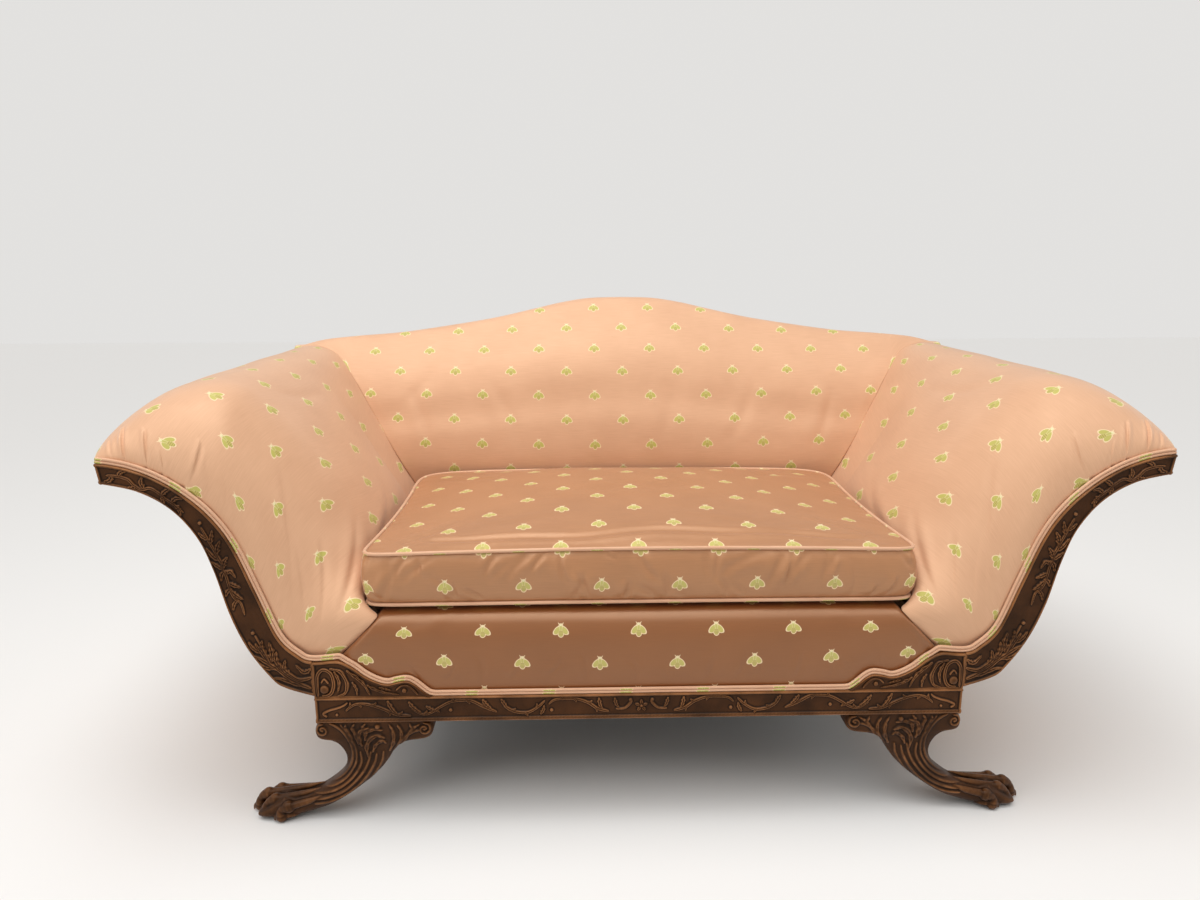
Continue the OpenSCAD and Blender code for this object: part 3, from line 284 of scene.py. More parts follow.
# Webbing: strips of plain-woven brown jute, strained over and under each other across the seat
# frame and up the back, and tacked to the rails.
jute, shader, add, into = start_finish("jute_webbing", (0.42, 0.29, 0.15), 0.9)
yarn = add("UVMap", uv_map="weave")
warp = add("TexWave", yarn, 260.0, 1.5, 2.0, wave_type="BANDS", bands_direction="X")
weft = add("TexWave", yarn, 260.0, 1.5, 2.0, wave_type="BANDS", bands_direction="Y")
woven = add("Math", warp, weft, operation="MAXIMUM")
patchy = add("TexNoise", yarn, None, 60.0, 4.0)
into("Base Color", mixed(add, woven, (0.2, 0.12, 0.05), mixed(add, patchy, (0.4, 0.27, 0.13), (0.56, 0.42, 0.24))))
into("Normal", add("Bump", 0.6, 0.0006, None, woven))


def grid_faces(rows, cols):
    """Faces between the points of a grid, and the numbers of the points round its rim."""
    number = np.arange(rows * cols).reshape(rows, cols)
    rim = np.concatenate([number[0, :-1], number[:-1, -1], number[-1, :0:-1], number[:0:-1, 0]])
    return np.stack([number[:-1, :-1], number[:-1, 1:], number[1:, 1:], number[1:, :-1]], -1).reshape(-1, 4), rim


def closed_shell(outer, inner):
    """Points and faces of the closed skin between two grids of points with the same rows and columns."""
    skin, rim = grid_faces(*outer.shape[:2])
    half = outer.shape[0] * outer.shape[1]
    after = np.roll(rim, -1)
    wall = np.stack([rim, after, after + half, rim + half], -1)
    faces = np.concatenate([skin, skin[:, ::-1] + half, wall]).tolist()
    return np.concatenate([outer.reshape(-1, 3), inner.reshape(-1, 3)]), faces


def shell_piece(name, outer, inner, weave, *given, **more):
    """Closed piece between two grids that share their weave coordinates."""
    points, faces = closed_shell(outer, inner)
    return make_piece(name, points, faces, *given, weave=np.concatenate([weave.reshape(-1, 2)] * 2), **more)


def strap(start, end, width, thick, over, over_first):
    """One webbing strap, woven over and under the straps that it crosses."""
    start, end = np.array(start), np.array(end)
    n = 12 * (len(over) + 1)
    t = np.linspace(0, 1, n + 1)
    line = start + (end - start) * t[:, None]
    sink = np.zeros(n + 1)
    for k, place in enumerate(over):
        sink += (1 if (k + over_first) % 2 else -1) * np.exp(-((t - place) / 0.028) ** 2)
    line[:, 2] += sink * thick * 0.55
    side = np.cross((end - start) / np.linalg.norm(end - start), (0, 0, 1))
    a = np.linspace(-width / 2, width / 2, 7)
    top = line[:, None] + side * a[None, :, None] + np.array((0, 0, thick / 2))
    weave = np.stack(np.broadcast_arrays(a[None, :], (t * np.linalg.norm(end - start))[:, None]), -1)
    return (*closed_shell(top, top - np.array((0, 0, thick))), np.concatenate([weave.reshape(-1, 2)] * 2))


low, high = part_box("seat_webbing")
web_w, web_t = 0.05, 0.0016
web_z = (low[2] + high[2]) / 2
deep_x = np.linspace(low[0] + web_w, high[0] - web_w, 8)
wide_y = np.linspace(low[1] + web_w, high[1] - web_w, 6)
straps = [strap((x, low[1], web_z), (x, high[1], web_z), web_w, web_t * 0.8,
                (wide_y - low[1]) / (high[1] - low[1]), i % 2) for i, x in enumerate(deep_x)]
straps += [strap((low[0], y, web_z), (high[0], y, web_z), web_w, web_t * 0.8,
                 (deep_x - low[0]) / (high[0] - low[0]), (i + 1) % 2) for i, y in enumerate(wide_y)]
make_piece("seat_straps", *many([s[:2] for s in straps]), jute, "jute", stands_for=["seat_webbing"],
           weave=np.concatenate([s[2] for s in straps]))

low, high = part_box("back_webbing")
lean = math.tan(math.radians(11))
back_straps = []
for x in np.linspace(low[0] + web_w / 2, high[0] - web_w / 2, 8):
    top_z = high[2] - 0.095 * (x / high[0]) ** 2 - 0.004
    foot = (x, low[1] + 0.001, low[2])
    head = (x, low[1] + 0.001 + (top_z - low[2]) * lean, top_z)
    back_straps.append(strap(foot, head, web_w, web_t * 0.8, [], 0))
make_piece("back_straps", *many([s[:2] for s in back_straps]), jute, "jute", stands_for=["back_webbing"],
           weave=np.concatenate([s[2] for s in back_straps]))

# Hessian: a sheet of the same jute, stretched over the springs and tacked down all round,
# so that no stuffing works its way down between the coils.
low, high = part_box("spring_hessian")
hessian_t = 0.0018
gx, gy = np.meshgrid(*(np.linspace(low[k], high[k], int((high[k] - low[k]) / 0.02)) for k in (0, 1)))
top = np.stack([gx, gy, np.full_like(gx, high[2])], -1)
hessian = shell_piece("hessian_cover", top, top - (0, 0, hessian_t), top[..., :2], jute, "jute",
                      stands_for=["spring_hessian"])

# Deck: the stuffed platform under the loose cushion, its top covered in plain lining cotton
# and its edges drawn down and tacked to the rails.
lining, shader, add, into = start_finish("lining_cotton", (0.55, 0.36, 0.24), 0.85)
yarn = add("UVMap", uv_map="weave")
warp = add("TexWave", yarn, 900.0, 1.0, 1.0, bands_direction="X")
weft = add("TexWave", yarn, 900.0, 1.0, 1.0, bands_direction="Y")
woven = add("Math", warp, weft, operation="MULTIPLY")
patchy = add("TexNoise", yarn, None, 14.0, 3.0)
into("Base Color", mixed(add, patchy, (0.5, 0.32, 0.21), (0.6, 0.41, 0.28)))
into("Normal", add("Bump", 0.3, 0.0003, None, woven))
low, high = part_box("seat_deck")
gx, gy = np.meshgrid(np.linspace(low[0], high[0], 150), np.linspace(low[1], high[1], 90))
edge = np.minimum(np.minimum(gx - low[0], high[0] - gx), np.minimum(gy - low[1], high[1] - gy))
dips = 0.0012 * (np.sin(37 * gx + 3 * np.sin(9 * gy)) * np.sin(29 * gy + 2)
                 + np.sin(70 * gx) * np.sin(58 * gy))
top = np.stack([gx, gy, high[2] - 0.0024 + dips * smooth(edge / 0.06)
                - 0.016 * (1 - np.sqrt(1 - (1 - np.clip(edge / 0.018, 0, 1)) ** 2))], -1)
under = np.stack([gx, gy, np.full_like(gx, low[2])], -1)
deck = shell_piece("deck_pad", top, under, top[..., :2], lining, "deck_cloth", stands_for=["seat_deck"])

# Dust cover: black woven cloth tacked up under the seat rails all round, cut out round the rear
# legs. It closes the seat from below.
black_cloth, shader, add, into = start_finish("black_dust_cloth", (0.02, 0.02, 0.022), 0.92)
yarn = add("UVMap", uv_map="weave")
woven = add("TexWave", yarn, 420.0, 4.0, 3.0, bands_direction="DIAGONAL")
into("Base Color", mixed(add, woven, (0.012, 0.012, 0.014), (0.045, 0.045, 0.05)))
into("Normal", add("Bump", 0.4, 0.0004, None, woven))
low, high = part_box("dust_cover")
leg_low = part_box("rear_leg_right")[0]
notch = leg_low[0] - 0.0006
x = np.unique(np.concatenate([np.linspace(-notch, notch, 56), [-notch - 1e-5, notch + 1e-5],
                              np.linspace(notch + 1e-5, high[0], 5), -np.linspace(notch + 1e-5, high[0], 5)]))
t = np.linspace(0, 1, 40)
back_edge = np.where(np.abs(x) > notch, leg_low[1] - 0.0006, high[1])
gx, gt = np.meshgrid(x, t)
gy = lerp(low[1], back_edge[None, :], gt)
top = np.stack([gx, gy, 0 * gx + high[2]], -1)
dust_cover = shell_piece("dust_cloth", top, top - (0, 0, high[2] - low[2]), top[..., :2], black_cloth,
                         "black_cloth", stands_for=["dust_cover"])


# Show wood: carved walnut, stained dark and waxed, and amber on everything that stands out, partly where the finish
# has thinned with use and partly as a painted highlight. The hollows of the carving are made nearly black.
# The front rail's board is carved with a running vine of leaves, with a rosette in the middle.
def curve(points, n):
    """Smooth curve through the control points, in n even steps."""
    return along(points, np.linspace(0, 1, n + 1))


def along(points, share):
    """Points on the smooth curve through the control points, at shares of its steps."""
    p = np.asarray(points, float)
    m = len(p) - 1
    u = np.asarray(share, float) * m
    k = np.clip(u.astype(int), 0, m - 1)
    t = (u - k)[..., None]
    a, b, c, d = p[np.maximum(k - 1, 0)], p[k], p[k + 1], p[np.minimum(k + 2, m)]
    return b + ((c - a) * t + (2 * a - 5 * b + 4 * c - d) * t * t + (3 * b - a - 3 * c + d) * t ** 3) / 2


def place_shares(shares, x0, x1, z0, z1):
    s = np.asarray(shares, float)
    return np.stack([lerp(x0, x1, s[:, 0]), lerp(z0, z1, s[:, 1])], -1)


def beside(line, d):
    """The line moved sideways by d, to the left of its direction."""
    v = np.empty_like(line)
    v[1:-1] = line[2:] - line[:-2]
    v[0] = line[1] - line[0]
    v[-1] = line[-1] - line[-2]
    v /= np.linalg.norm(v, axis=1)[:, None]
    return line + np.asarray(d)[..., None] * np.stack([-v[:, 1], v[:, 0]], -1)


def carve(x, z, strokes):
    """Height of the carving over its ground, in millimetres, at the points x, z. A stroke is its kind,
    its rise, its half width at start and end, and the points that the gouge follows."""
    height = np.zeros(x.shape)
    for kind, rise, start_w, end_w, path in strokes:
        line = curve(path, 9 * len(path)) if len(path) > 2 else np.array(path, float)
        if len(line) == 1:
            line = np.concatenate([line, line + 1e-6])
        wide = max(start_w, end_w)
        near = ((x > line[:, 0].min() - wide) & (x < line[:, 0].max() + wide)
                & (z > line[:, 1].min() - wide) & (z < line[:, 1].max() + wide))
        if not near.any():
            continue
        q = np.stack([x[near], z[near]], -1)[:, None]
        a, v = line[:-1][None], np.diff(line, axis=0)[None]
        t = np.clip(((q - a) * v).sum(-1) / (v * v).sum(-1), 0, 1)
        gap = np.linalg.norm(q - a - t[..., None] * v, axis=-1)
        k = gap.argmin(1)
        d = gap[np.arange(len(k)), k]
        s = (k + t[np.arange(len(k)), k]) / v.shape[1]
        if kind == "berry":
            r = np.full(len(d), float(start_w))
        elif kind == "leaf":
            r = lerp(start_w, end_w, s) * np.sin(math.pi * np.clip(s * 0.92 + 0.06, 0, 1)) ** 0.6
            r = r * (0.84 + 0.16 * np.cos(22 * s))
        else:
            r = lerp(start_w, end_w, s) * np.sqrt(np.clip(1 - (2 * s - 1) ** 8, 0, 1))
        r = np.maximum(r, 1e-4)
        form = np.sqrt(np.clip(1 - (d / r) ** 2, 0, 1))
        if kind == "leaf":
            veins = 0.86 + 0.14 * np.sin(26 * s - 5 * d / r)
            form = form * (1 - 0.55 * np.exp(-(d / (0.2 * r)) ** 2)) * veins
        elif kind == "split":
            form = form * (1 - 0.45 * np.exp(-(d / (0.25 * r)) ** 2))
        height[near] = np.maximum(height[near], rise * form)
    return height


def bead(distance, width):
    """Round bead of the given width, at a distance from its edge; 0 to 1."""
    return np.sqrt(np.clip(1 - (2 * distance / width - 1) ** 2, 0, 1))


def stands_out(mesh, rounds, unit):
    """Keeps, for each point, how far it stands out of its surroundings, in the given unit."""
    count = len(mesh.vertices)
    spots, ends = np.zeros(count * 3), np.zeros(len(mesh.edges) * 2, int)
    mesh.vertices.foreach_get("co", spots)
    mesh.edges.foreach_get("vertices", ends)
    spots, (one, two) = spots.reshape(-1, 3), ends.reshape(-1, 2).T
    near = np.bincount(one, minlength=count) + np.bincount(two, minlength=count)
    mean = spots.copy()
    for _ in range(rounds):
        total = [np.bincount(one, mean[two, k], count) + np.bincount(two, mean[one, k], count) for k in range(3)]
        mean = (mean + np.stack(total, -1) / near[:, None]) / 2
    facing = np.zeros(count * 3)
    mesh.vertex_normals.foreach_get("vector", facing)
    proud = ((spots - mean) * facing.reshape(-1, 3)).sum(-1) / unit
    mesh.attributes.new("wear_and_highlight", "FLOAT", "POINT").data.foreach_set("value", np.clip(proud, -1, 1))


def carved_board(name, front, back_y, node):
    """Board with a carved front grid and a flat back."""
    skin, rim = grid_faces(*front.shape[:2])
    front = front.reshape(-1, 3)
    back = front[rim]
    back[:, 1] = back_y
    behind = np.arange(len(rim)) + len(front)
    wall = np.stack([rim, np.roll(rim, -1), np.roll(behind, -1), behind], -1)
    faces = np.concatenate([skin, wall]).tolist() + [behind.tolist()]
    board = make_piece(name, np.concatenate([front, back]), faces, walnut, "show_wood",
                       stands_for=[node])
    stands_out(board.data, 14, 0.0007)


def in_box(table, *box):
    """Strokes in millimetres. Each row has a kind, a rise, two half widths, and the lines cut that way,
    as thousandths of the box across and up."""
    return [(*row[:4], place_shares(np.reshape(path, (-1, 2)) / 1000, *box)) for row in table for path in row[4:]]


def frills(path, places, length, lean_to):
    """Small leaves that curl off a stroke at the given shares of its run."""
    line = curve(path, 40)
    out = []
    for k, share in enumerate(places):
        i = min(int(share * 40), 39)
        way = (line[i + 1] - line[i]) / np.linalg.norm(line[i + 1] - line[i])
        side = np.array([-way[1], way[0]]) * lean_to * (1 if k % 2 else -1)
        out.append(("leaf", 4.5, 3.8, 2.4, [line[i], line[i] + length * (0.5 * way + 0.35 * side),
                                            line[i] + length * (0.75 * way + 0.85 * side)]))
    return out


walnut, shader, add, into = start_finish("carved_walnut", (0.09, 0.04, 0.02), 0.34)
wear_and_highlight_relief = add("Attribute", attribute_name="wear_and_highlight", out=2)
place = add("TexCoord", out=3)
grain = add("TexNoise", add("Mapping", place, None, None, (14.0, 150.0, 150.0)), None, 1.0, 5.0, 0.6)
blotch = add("TexNoise", place, None, 16.0, 3.0)
walnut_colour = mixed(add, grain, (0.012, 0.0042, 0.0014), (0.04, 0.0135, 0.0036))
walnut_colour = mixed(add, add("MapRange", blotch, 0.38, 0.72, 0.0, 0.8), walnut_colour, (0.085, 0.03, 0.009))
# amber on the raised parts: thinned finish with a painted highlight over it
amber_wear_and_highlight = add("Math", add("MapRange", wear_and_highlight_relief, 0.12, 0.9, 0.0, 0.95), add("MapRange", blotch, 0.3, 0.6, 0.25, 1.0),
             operation="MULTIPLY")
walnut_colour = mixed(add, amber_wear_and_highlight, walnut_colour, (0.29, 0.122, 0.045))
# nearly black in the hollows of the carving
into("Base Color", mixed(add, add("MapRange", wear_and_highlight_relief, -0.08, -0.6, 0.0, 0.9), walnut_colour, (0.006, 0.003, 0.002)))
into("Roughness", add("MapRange", wear_and_highlight_relief, -0.5, 0.8, 0.62, 0.3))
shader.inputs["Specular IOR Level"].default_value = 0.2
shader.inputs["Specular Tint"].default_value = (1, 0.55, 0.3, 1)
shader.inputs["Coat Weight"].default_value = 0.12
shader.inputs["Coat Roughness"].default_value = 0.18
into("Normal", add("Bump", 0.35, 0.0003, None, grain))

front_y, rail_half, rail_low, rail_top = -0.442, 0.578, 0.203, 0.251
ground_y, wood_back_y = front_y + 0.003, front_y + 0.028
vine = [
    ("stem", 3.4, 2.4, 3.9, (80, 340, 52, 370, 33, 690, 36, 900)),
    ("split", 3.6, 2.4, 3.9, (286, 630, 268, 880, 234, 950, 199, 920, 163, 690, 135, 370, 100, 200)),
    ("split", 3.6, 3.9, 2.4, (424, 630, 394, 290, 353, 200, 318, 510, 297, 860)),
    ("split", 3.6, 2.4, 3.9,
     (707, 500, 676, 200, 649, 260, 619, 570, 585, 860, 550, 930, 522, 900, 486, 570, 445, 260),
     (908, 400, 896, 600, 874, 800, 844, 800, 810, 630, 775, 370, 747, 170, 708, 110)),
    ("stem", 3.6, 3.0, 2.1, (965, 120, 975, 300, 955, 480, 930, 600, 910, 750, 900, 900)),
    ("leaf", 4.2, 6.0, 3.9, (778, 920, 766, 500, 750, 220)),
    ("leaf", 4.2, 5.6, 3.5, (713, 850, 700, 550, 676, 260)),
    ("leaf", 4.0, 5.3, 3.1, (660, 600, 645, 450, 630, 400)),
    ("leaf", 4.2, 6.0, 3.9, (487, 920, 478, 680, 462, 450)),
    ("leaf", 4.2, 5.6, 3.5, (430, 920, 422, 700, 410, 420)),
    ("leaf", 4.2, 5.3, 3.1, (310, 120, 302, 350, 300, 600)),
    ("leaf", 4.2, 5.6, 3.5, (131, 920, 128, 600, 121, 330)),
    ("leaf", 4.2, 5.3, 3.1, (82, 900, 78, 620, 70, 400)),
    ("berry", 3.8, 3.6, 3.6, (587, 400), (277, 320)),
    ("berry", 3.8, 2.8, 2.8, (935, 220)),
]
vine = in_box(vine, 0, 578, 8, 43)
for k, places, length in ((1, (0.25, 0.45, 0.65, 0.82), 8), (3, (0.15, 0.3, 0.5, 0.68, 0.85), 9),
                          (4, (0.15, 0.32, 0.5, 0.7, 0.86), 9), (2, (0.2, 0.45, 0.7), 8)):
    vine += frills(vine[k][4], places, length, 1)
petals = [("leaf", 4.6, 4.2, 3.6, [(r * math.sin(w), 25.5 + r * math.cos(w)) for r in (2.5, 12)])
          for w in np.arange(5) * 2 * math.pi / 5]
rosette = petals + [("berry", 5.6, 3.4, 3.4, [(0, 25.5)])]
gx, gz = np.meshgrid(np.linspace(-578, 578, 1401), np.linspace(0, 48, 69))
height = np.maximum(carve(np.abs(gx), gz, vine), carve(gx, gz, rosette))
height = np.maximum(height, 3.2 * bead(gz, 8.0))
height = np.maximum(height, 3.0 * bead(48 - gz, 4.6))
height = np.maximum(height, 3.0 * bead(578 - np.abs(gx), 5.2))
# the ground is left from the gouge, slightly uneven
uneven = 0.12 * np.sin(gx * 0.9 + 2 * np.sin(gz * 0.5)) * np.sin(gz * 0.8 + np.sin(gx * 0.31))
front = np.stack([gx / 1000, ground_y - (height + uneven) / 1000, rail_low + gz / 1000], -1)
carved_board("carved_front_rail", front, wood_back_y, "front_rail")

# Spandrels: shaped blocks over the rail's ends, each carved with a C-scroll round a boss and a leaf
# that ends in a berry. Their upper edge is an ogee with a moulded bead.
ogee_shares = [[-0.05, 0], [0, 0.035], [0.04, 0.11], [0.085, 0.225], [0.135, 0.35], [0.19, 0.425],
               [0.267, 0.4], [0.351, 0.345], [0.44, 0.4], [0.55, 0.571], [0.66, 0.83], [0.757, 0.985],
               [0.84, 1], [0.92, 0.975], [1, 0.965]]
spandrel_box = (376, 578, 251, 321)
ogee = curve(place_shares(ogee_shares, *spandrel_box), 280)
scroll = [
    ("split", 3.8, 3.6, 3.6,
     (963, 50, 965, 380, 955, 640, 906, 780, 842, 680, 822, 410, 842, 170, 886, 70, 930, 80)),
    ("berry", 5.6, 8.2, 8.2, (906, 240)),
    ("stem", 3.4, 1.7, 2.2, (930, 420, 900, 520, 866, 400)),
    ("leaf", 4.4, 5.0, 4.1, (842, 800, 758, 720, 708, 410, 728, 140, 795, 60)),
    ("leaf", 4.4, 4.6, 3.1, (810, 720, 775, 450, 790, 160)),
    ("leaf", 4.4, 5.3, 3.4, (700, 740, 617, 540, 560, 360, 515, 70)),
    ("leaf", 4.2, 3.8, 2.6, (660, 420, 630, 250, 625, 60)),
    ("leaf", 4.2, 4.6, 2.4, (533, 340, 468, 229, 374, 130, 262, 80)),
    ("leaf", 4.0, 3.1, 2.2, (430, 280, 380, 240, 330, 200)),
    ("stem", 3.6, 1.9, 2.2, (285, 200, 234, 310, 168, 290, 100, 70)),
    ("berry", 4.6, 4.5, 4.5, (215, 180)),
]
scroll = in_box(scroll, *spandrel_box)
t = np.linspace(0, 1, 100)[:, None]
px = np.broadcast_to(ogee[:, 0], (100, len(ogee)))
pz = 251 + (ogee[:, 1] - 251) * t
slope = np.gradient(ogee[:, 1], ogee[:, 0])
below = (ogee[:, 1] - pz) / np.sqrt(1 + slope ** 2)
height = np.maximum(carve(px, pz, scroll), 3 * bead(below, 5.0))
height = np.maximum(height, 3 * bead(578 - px, 5.0)) * smooth((px - 368) / 8)
for s, side in ((-1, "left"), (1, "right")):
    front = np.stack([s * px / 1000, ground_y - height / 1000, pz / 1000], -1)
    carved_board("carved_spandrel_" + side, front, wood_back_y, "spandrel_" + side)

# Arm facings: long S-scrolls sawn to the arm's curve, with a bead along each edge and sprays of
# veined leaves and berries between. They are screwed to the arm stumps before the arm is covered.
outer_shares = [[0, 0.01], [0.145, 0.047], [0.215, 0.088], [0.326, 0.214], [0.406, 0.365],
                [0.468, 0.556], [0.535, 0.695], [0.652, 0.81], [0.812, 0.884], [1, 0.918]]
edge_shares = [[-0.145, 0.17], [0, 0.163], [0.074, 0.19], [0.172, 0.272], [0.265, 0.46],
               [0.366, 0.66], [0.468, 0.781], [0.597, 0.874], [0.726, 0.937], [0.846, 0.974],
               [0.942, 0.991], [0.997, 0.996], [1.015, 0.998]]
facing_box = (578, 903, 251, 680)
facing_outer = place_shares(outer_shares, *facing_box)
wood_edge = place_shares(edge_shares, *facing_box)


def run_along(points):
    """Length run from the first of the points to each of them."""
    return np.cumsum(np.linalg.norm(np.diff(points, axis=0, prepend=points[:1]), axis=-1), axis=0)


def even(line, n):
    """The line in n equal steps of length."""
    s = run_along(line)
    t = np.linspace(0, s[-1], n + 1)
    return np.stack([np.interp(t, s, line[:, k]) for k in (0, 1)], -1)


outer_line = even(curve(facing_outer, 400), 640)
inner_line = even(along(wood_edge, lerp(1 / 12, 1, np.linspace(0, 1, 401))), 640)
# pairs the two edges so that the lines between them stand square to the run of the scroll
middle = (outer_line + inner_line) / 2
run_mm = run_along(middle)
width_mm = np.linalg.norm(outer_line - inner_line, axis=1)
across = np.linspace(0, 1, 71)[:, None]
line = outer_line[None] + (inner_line - outer_line)[None] * across[..., None]
from_outer = across * width_mm
sprays = [
    ("split", 3.6, 4.6, 3.4, (10, 45, 65, 65, 132, 97, 181, 133, 226, 165, 258, 205, 290, 249)),
    ("split", 3.6, 4.3, 3.1, (5, 94, 69, 85, 119, 110, 159, 142, 198, 178, 233, 196)),
    ("stem", 3.4, 2.4, 2.2, (216, 156, 242, 209, 269, 253, 286, 283)),
    ("berry", 4.2, 3.7, 3.7, (297, 292)),
    ("leaf", 4.2, 7.0, 4.3, (233, 191, 256, 226, 252, 259)),
    ("leaf", 4.2, 7.4, 4.8, (210, 170, 206, 210, 216, 250), (160, 133, 185, 169, 182, 210),
     (115, 106, 146, 133, 138, 172)),
    ("leaf", 4.2, 7.0, 4.3, (10, 130, 44, 118, 84, 150)),
    ("leaf", 4.4, 7.8, 5.0, (171, 124, 206, 147, 257, 174, 312, 195)),
    ("leaf", 4.2, 6.7, 4.3, (207, 135, 249, 142, 290, 168)),
    ("leaf", 4.2, 7.0, 4.3, (50, 55, 106, 71, 158, 88, 210, 94)),
    ("leaf", 4.2, 6.3, 4.3, (260, 205, 300, 225, 325, 255)),
    ("split", 3.6, 2.4, 3.4, (329, 370, 344, 422, 377, 447, 395, 490, 407, 541, 428, 579)),
    ("leaf", 4.2, 6.3, 3.9, (396, 549, 380, 556, 358, 528)),
    ("leaf", 4.2, 6.7, 4.3, (393, 507, 370, 497, 336, 487), (384, 473, 363, 455, 330, 436),
     (405, 558, 426, 545, 434, 515)),
    ("leaf", 4.2, 6.3, 3.9, (386, 481, 405, 473, 418, 450)),
    ("leaf", 4.0, 5.5, 3.5, (360, 435, 378, 418, 386, 390)),
    ("split", 3.6, 3.4, 2.4, (409, 570, 430, 604, 451, 641, 481, 691, 510, 740)),
    ("berry", 4.2, 3.7, 3.7, (514, 757)),
    ("leaf", 4.2, 6.7, 4.3, (440, 629, 437, 658, 420, 682), (418, 570, 410, 596, 390, 616),
     (435, 604, 464, 620, 495, 655)),
    ("leaf", 4.2, 6.3, 3.9, (418, 566, 447, 580, 475, 598)),
    ("leaf", 4.0, 5.5, 3.5, (478, 688, 505, 700, 527, 718), (470, 670, 462, 700, 455, 728)),
    ("split", 3.6, 2.8, 3.4,
     (590, 800, 630, 831, 672, 856, 704, 880, 747, 900, 789, 895, 826, 913, 852, 935, 900, 948, 960, 953)),
    ("leaf", 4.2, 6.3, 3.9, (644, 843, 622, 858, 587, 855), (690, 872, 668, 889, 645, 893)),
    ("leaf", 4.2, 5.9, 3.5, (630, 831, 612, 815, 606, 785), (690, 868, 688, 847, 680, 826)),
    ("leaf", 4.2, 6.3, 3.9, (775, 897, 790, 922, 780, 945), (815, 908, 845, 900, 875, 905),
     (900, 948, 883, 965, 855, 968), (930, 951, 945, 932, 975, 928)),
]
sprays = in_box(sprays, *facing_box)
rim_gap = np.minimum(from_outer, width_mm - from_outer)
height = carve(line[..., 0], line[..., 1], sprays) * smooth(rim_gap / 3)
height = np.maximum(np.maximum(height, 3.2 * bead(rim_gap, 5.4)), 3 * bead(run_mm[-1] - run_mm, 5.0))
uneven = 0.12 * np.sin(line[..., 0] * 0.8 + 2 * np.sin(line[..., 1] * 0.5)) * np.sin(line[..., 1] * 0.9)
for s, side in ((-1, "left"), (1, "right")):
    front = np.stack([s * line[..., 0] / 1000, ground_y - (height + uneven) / 1000, line[..., 1] / 1000], -1)
    carved_board("carved_facing_" + side, front, wood_back_y, "arm_facing_" + side)


# Front legs: carved from the solid, a leafy bracket with a scroll at each end under the rail, whose
# ridges sweep out and down to the four toes of a lion's paw. Each is bolted up into the frame.
outer_leg = [[-0.02, 1], [0.03, 0.955], [0.06, 0.88], [0.03, 0.815], [-0.1, 0.795], [-0.2, 0.75],
             [-0.275, 0.67], [-0.3, 0.58], [-0.265, 0.49], [-0.17, 0.405], [0.03, 0.3], [0.23, 0.235],
             [0.42, 0.215]]
inner_leg = [[-1.4, 1], [-1.44, 0.955], [-1.45, 0.875], [-1.4, 0.81], [-1.22, 0.79], [-1.04, 0.745],
             [-0.93, 0.665], [-0.85, 0.575], [-0.74, 0.475], [-0.59, 0.375], [-0.36, 0.245], [-0.1, 0.13],
             [0.16, 0.06]]
leg_depth = [[1, 9], [1, 9], [1, 9], [1, 8], [0.98, 7], [0.95, 5], [0.92, 4], [0.9, 3.4], [0.88, 3],
             [0.86, 2.8], [0.84, 2.6], [0.83, 2.5], [0.84, 2.4]]
paw_shares = [[0.54, 0.5, 0.84, 0.02, 0.76], [0.64, 0.61, 0.72, 0.04, 0.74], [0.73, 0.71, 0.55, 0.05, 0.72],
              [0.82, 0.8, 0.4, 0.06, 0.66], [0.9, 0.89, 0.28, 0.08, 0.5]]
paw_reach, rail_floor, leg_t, paw_h, paw_w = 0.14, 0.203, 0.058, 0.054, 0.072
leg_y = front_y + (0.003 + paw_w) / 2
n = 240
top_line, low_line, depth = curve(outer_leg, n), curve(inner_leg, n), curve(leg_depth, n)
paw = curve(paw_shares, 60)
a = np.concatenate([np.stack([rail_half + top_line[:, 0] * paw_reach, top_line[:, 1] * rail_floor], -1),
                    np.stack([rail_half + paw[:, 0] * paw_reach, paw[:, 2] * paw_h], -1)])
b = np.concatenate([np.stack([rail_half + low_line[:, 0] * paw_reach, low_line[:, 1] * rail_floor], -1),
                    np.stack([rail_half + paw[:, 1] * paw_reach, paw[:, 3] * paw_h], -1)])
thick = np.concatenate([depth[:, 0] * leg_t, paw[:, 4] * paw_w])[:, None]
power = np.concatenate([depth[:, 1], np.full(61, 2.6)])[:, None]
along_face, along_end = np.linspace(-1, 1, 151)[:-1], np.linspace(-1, 1, 41)[:-1]
u = np.concatenate([-along_face, -np.ones(40), along_face, np.ones(40)])
v = np.concatenate([np.ones(150), -along_end, -np.ones(150), along_end])
reach = (np.abs(u) ** power + np.abs(v) ** power) ** (1 / power)
u, v = u / reach, v / reach
lx = ((a + b)[:, None, 0] + (a - b)[:, None, 0] * u) / 2
lz = np.maximum(0.0005, ((a + b)[:, None, 1] + (a - b)[:, None, 1] * u) / 2)
ly = leg_y + thick / 2 * v


def volute(x, z, size, start, turns):
    """Points of a scroll that winds inward round a centre, in millimetres."""
    t = np.linspace(0, 1, 14)
    turn = math.radians(start) + t * turns * 2 * math.pi
    reach = size * (1 - 0.75 * t)
    return np.stack([x + reach * np.cos(turn), z + reach * np.sin(turn)], -1)


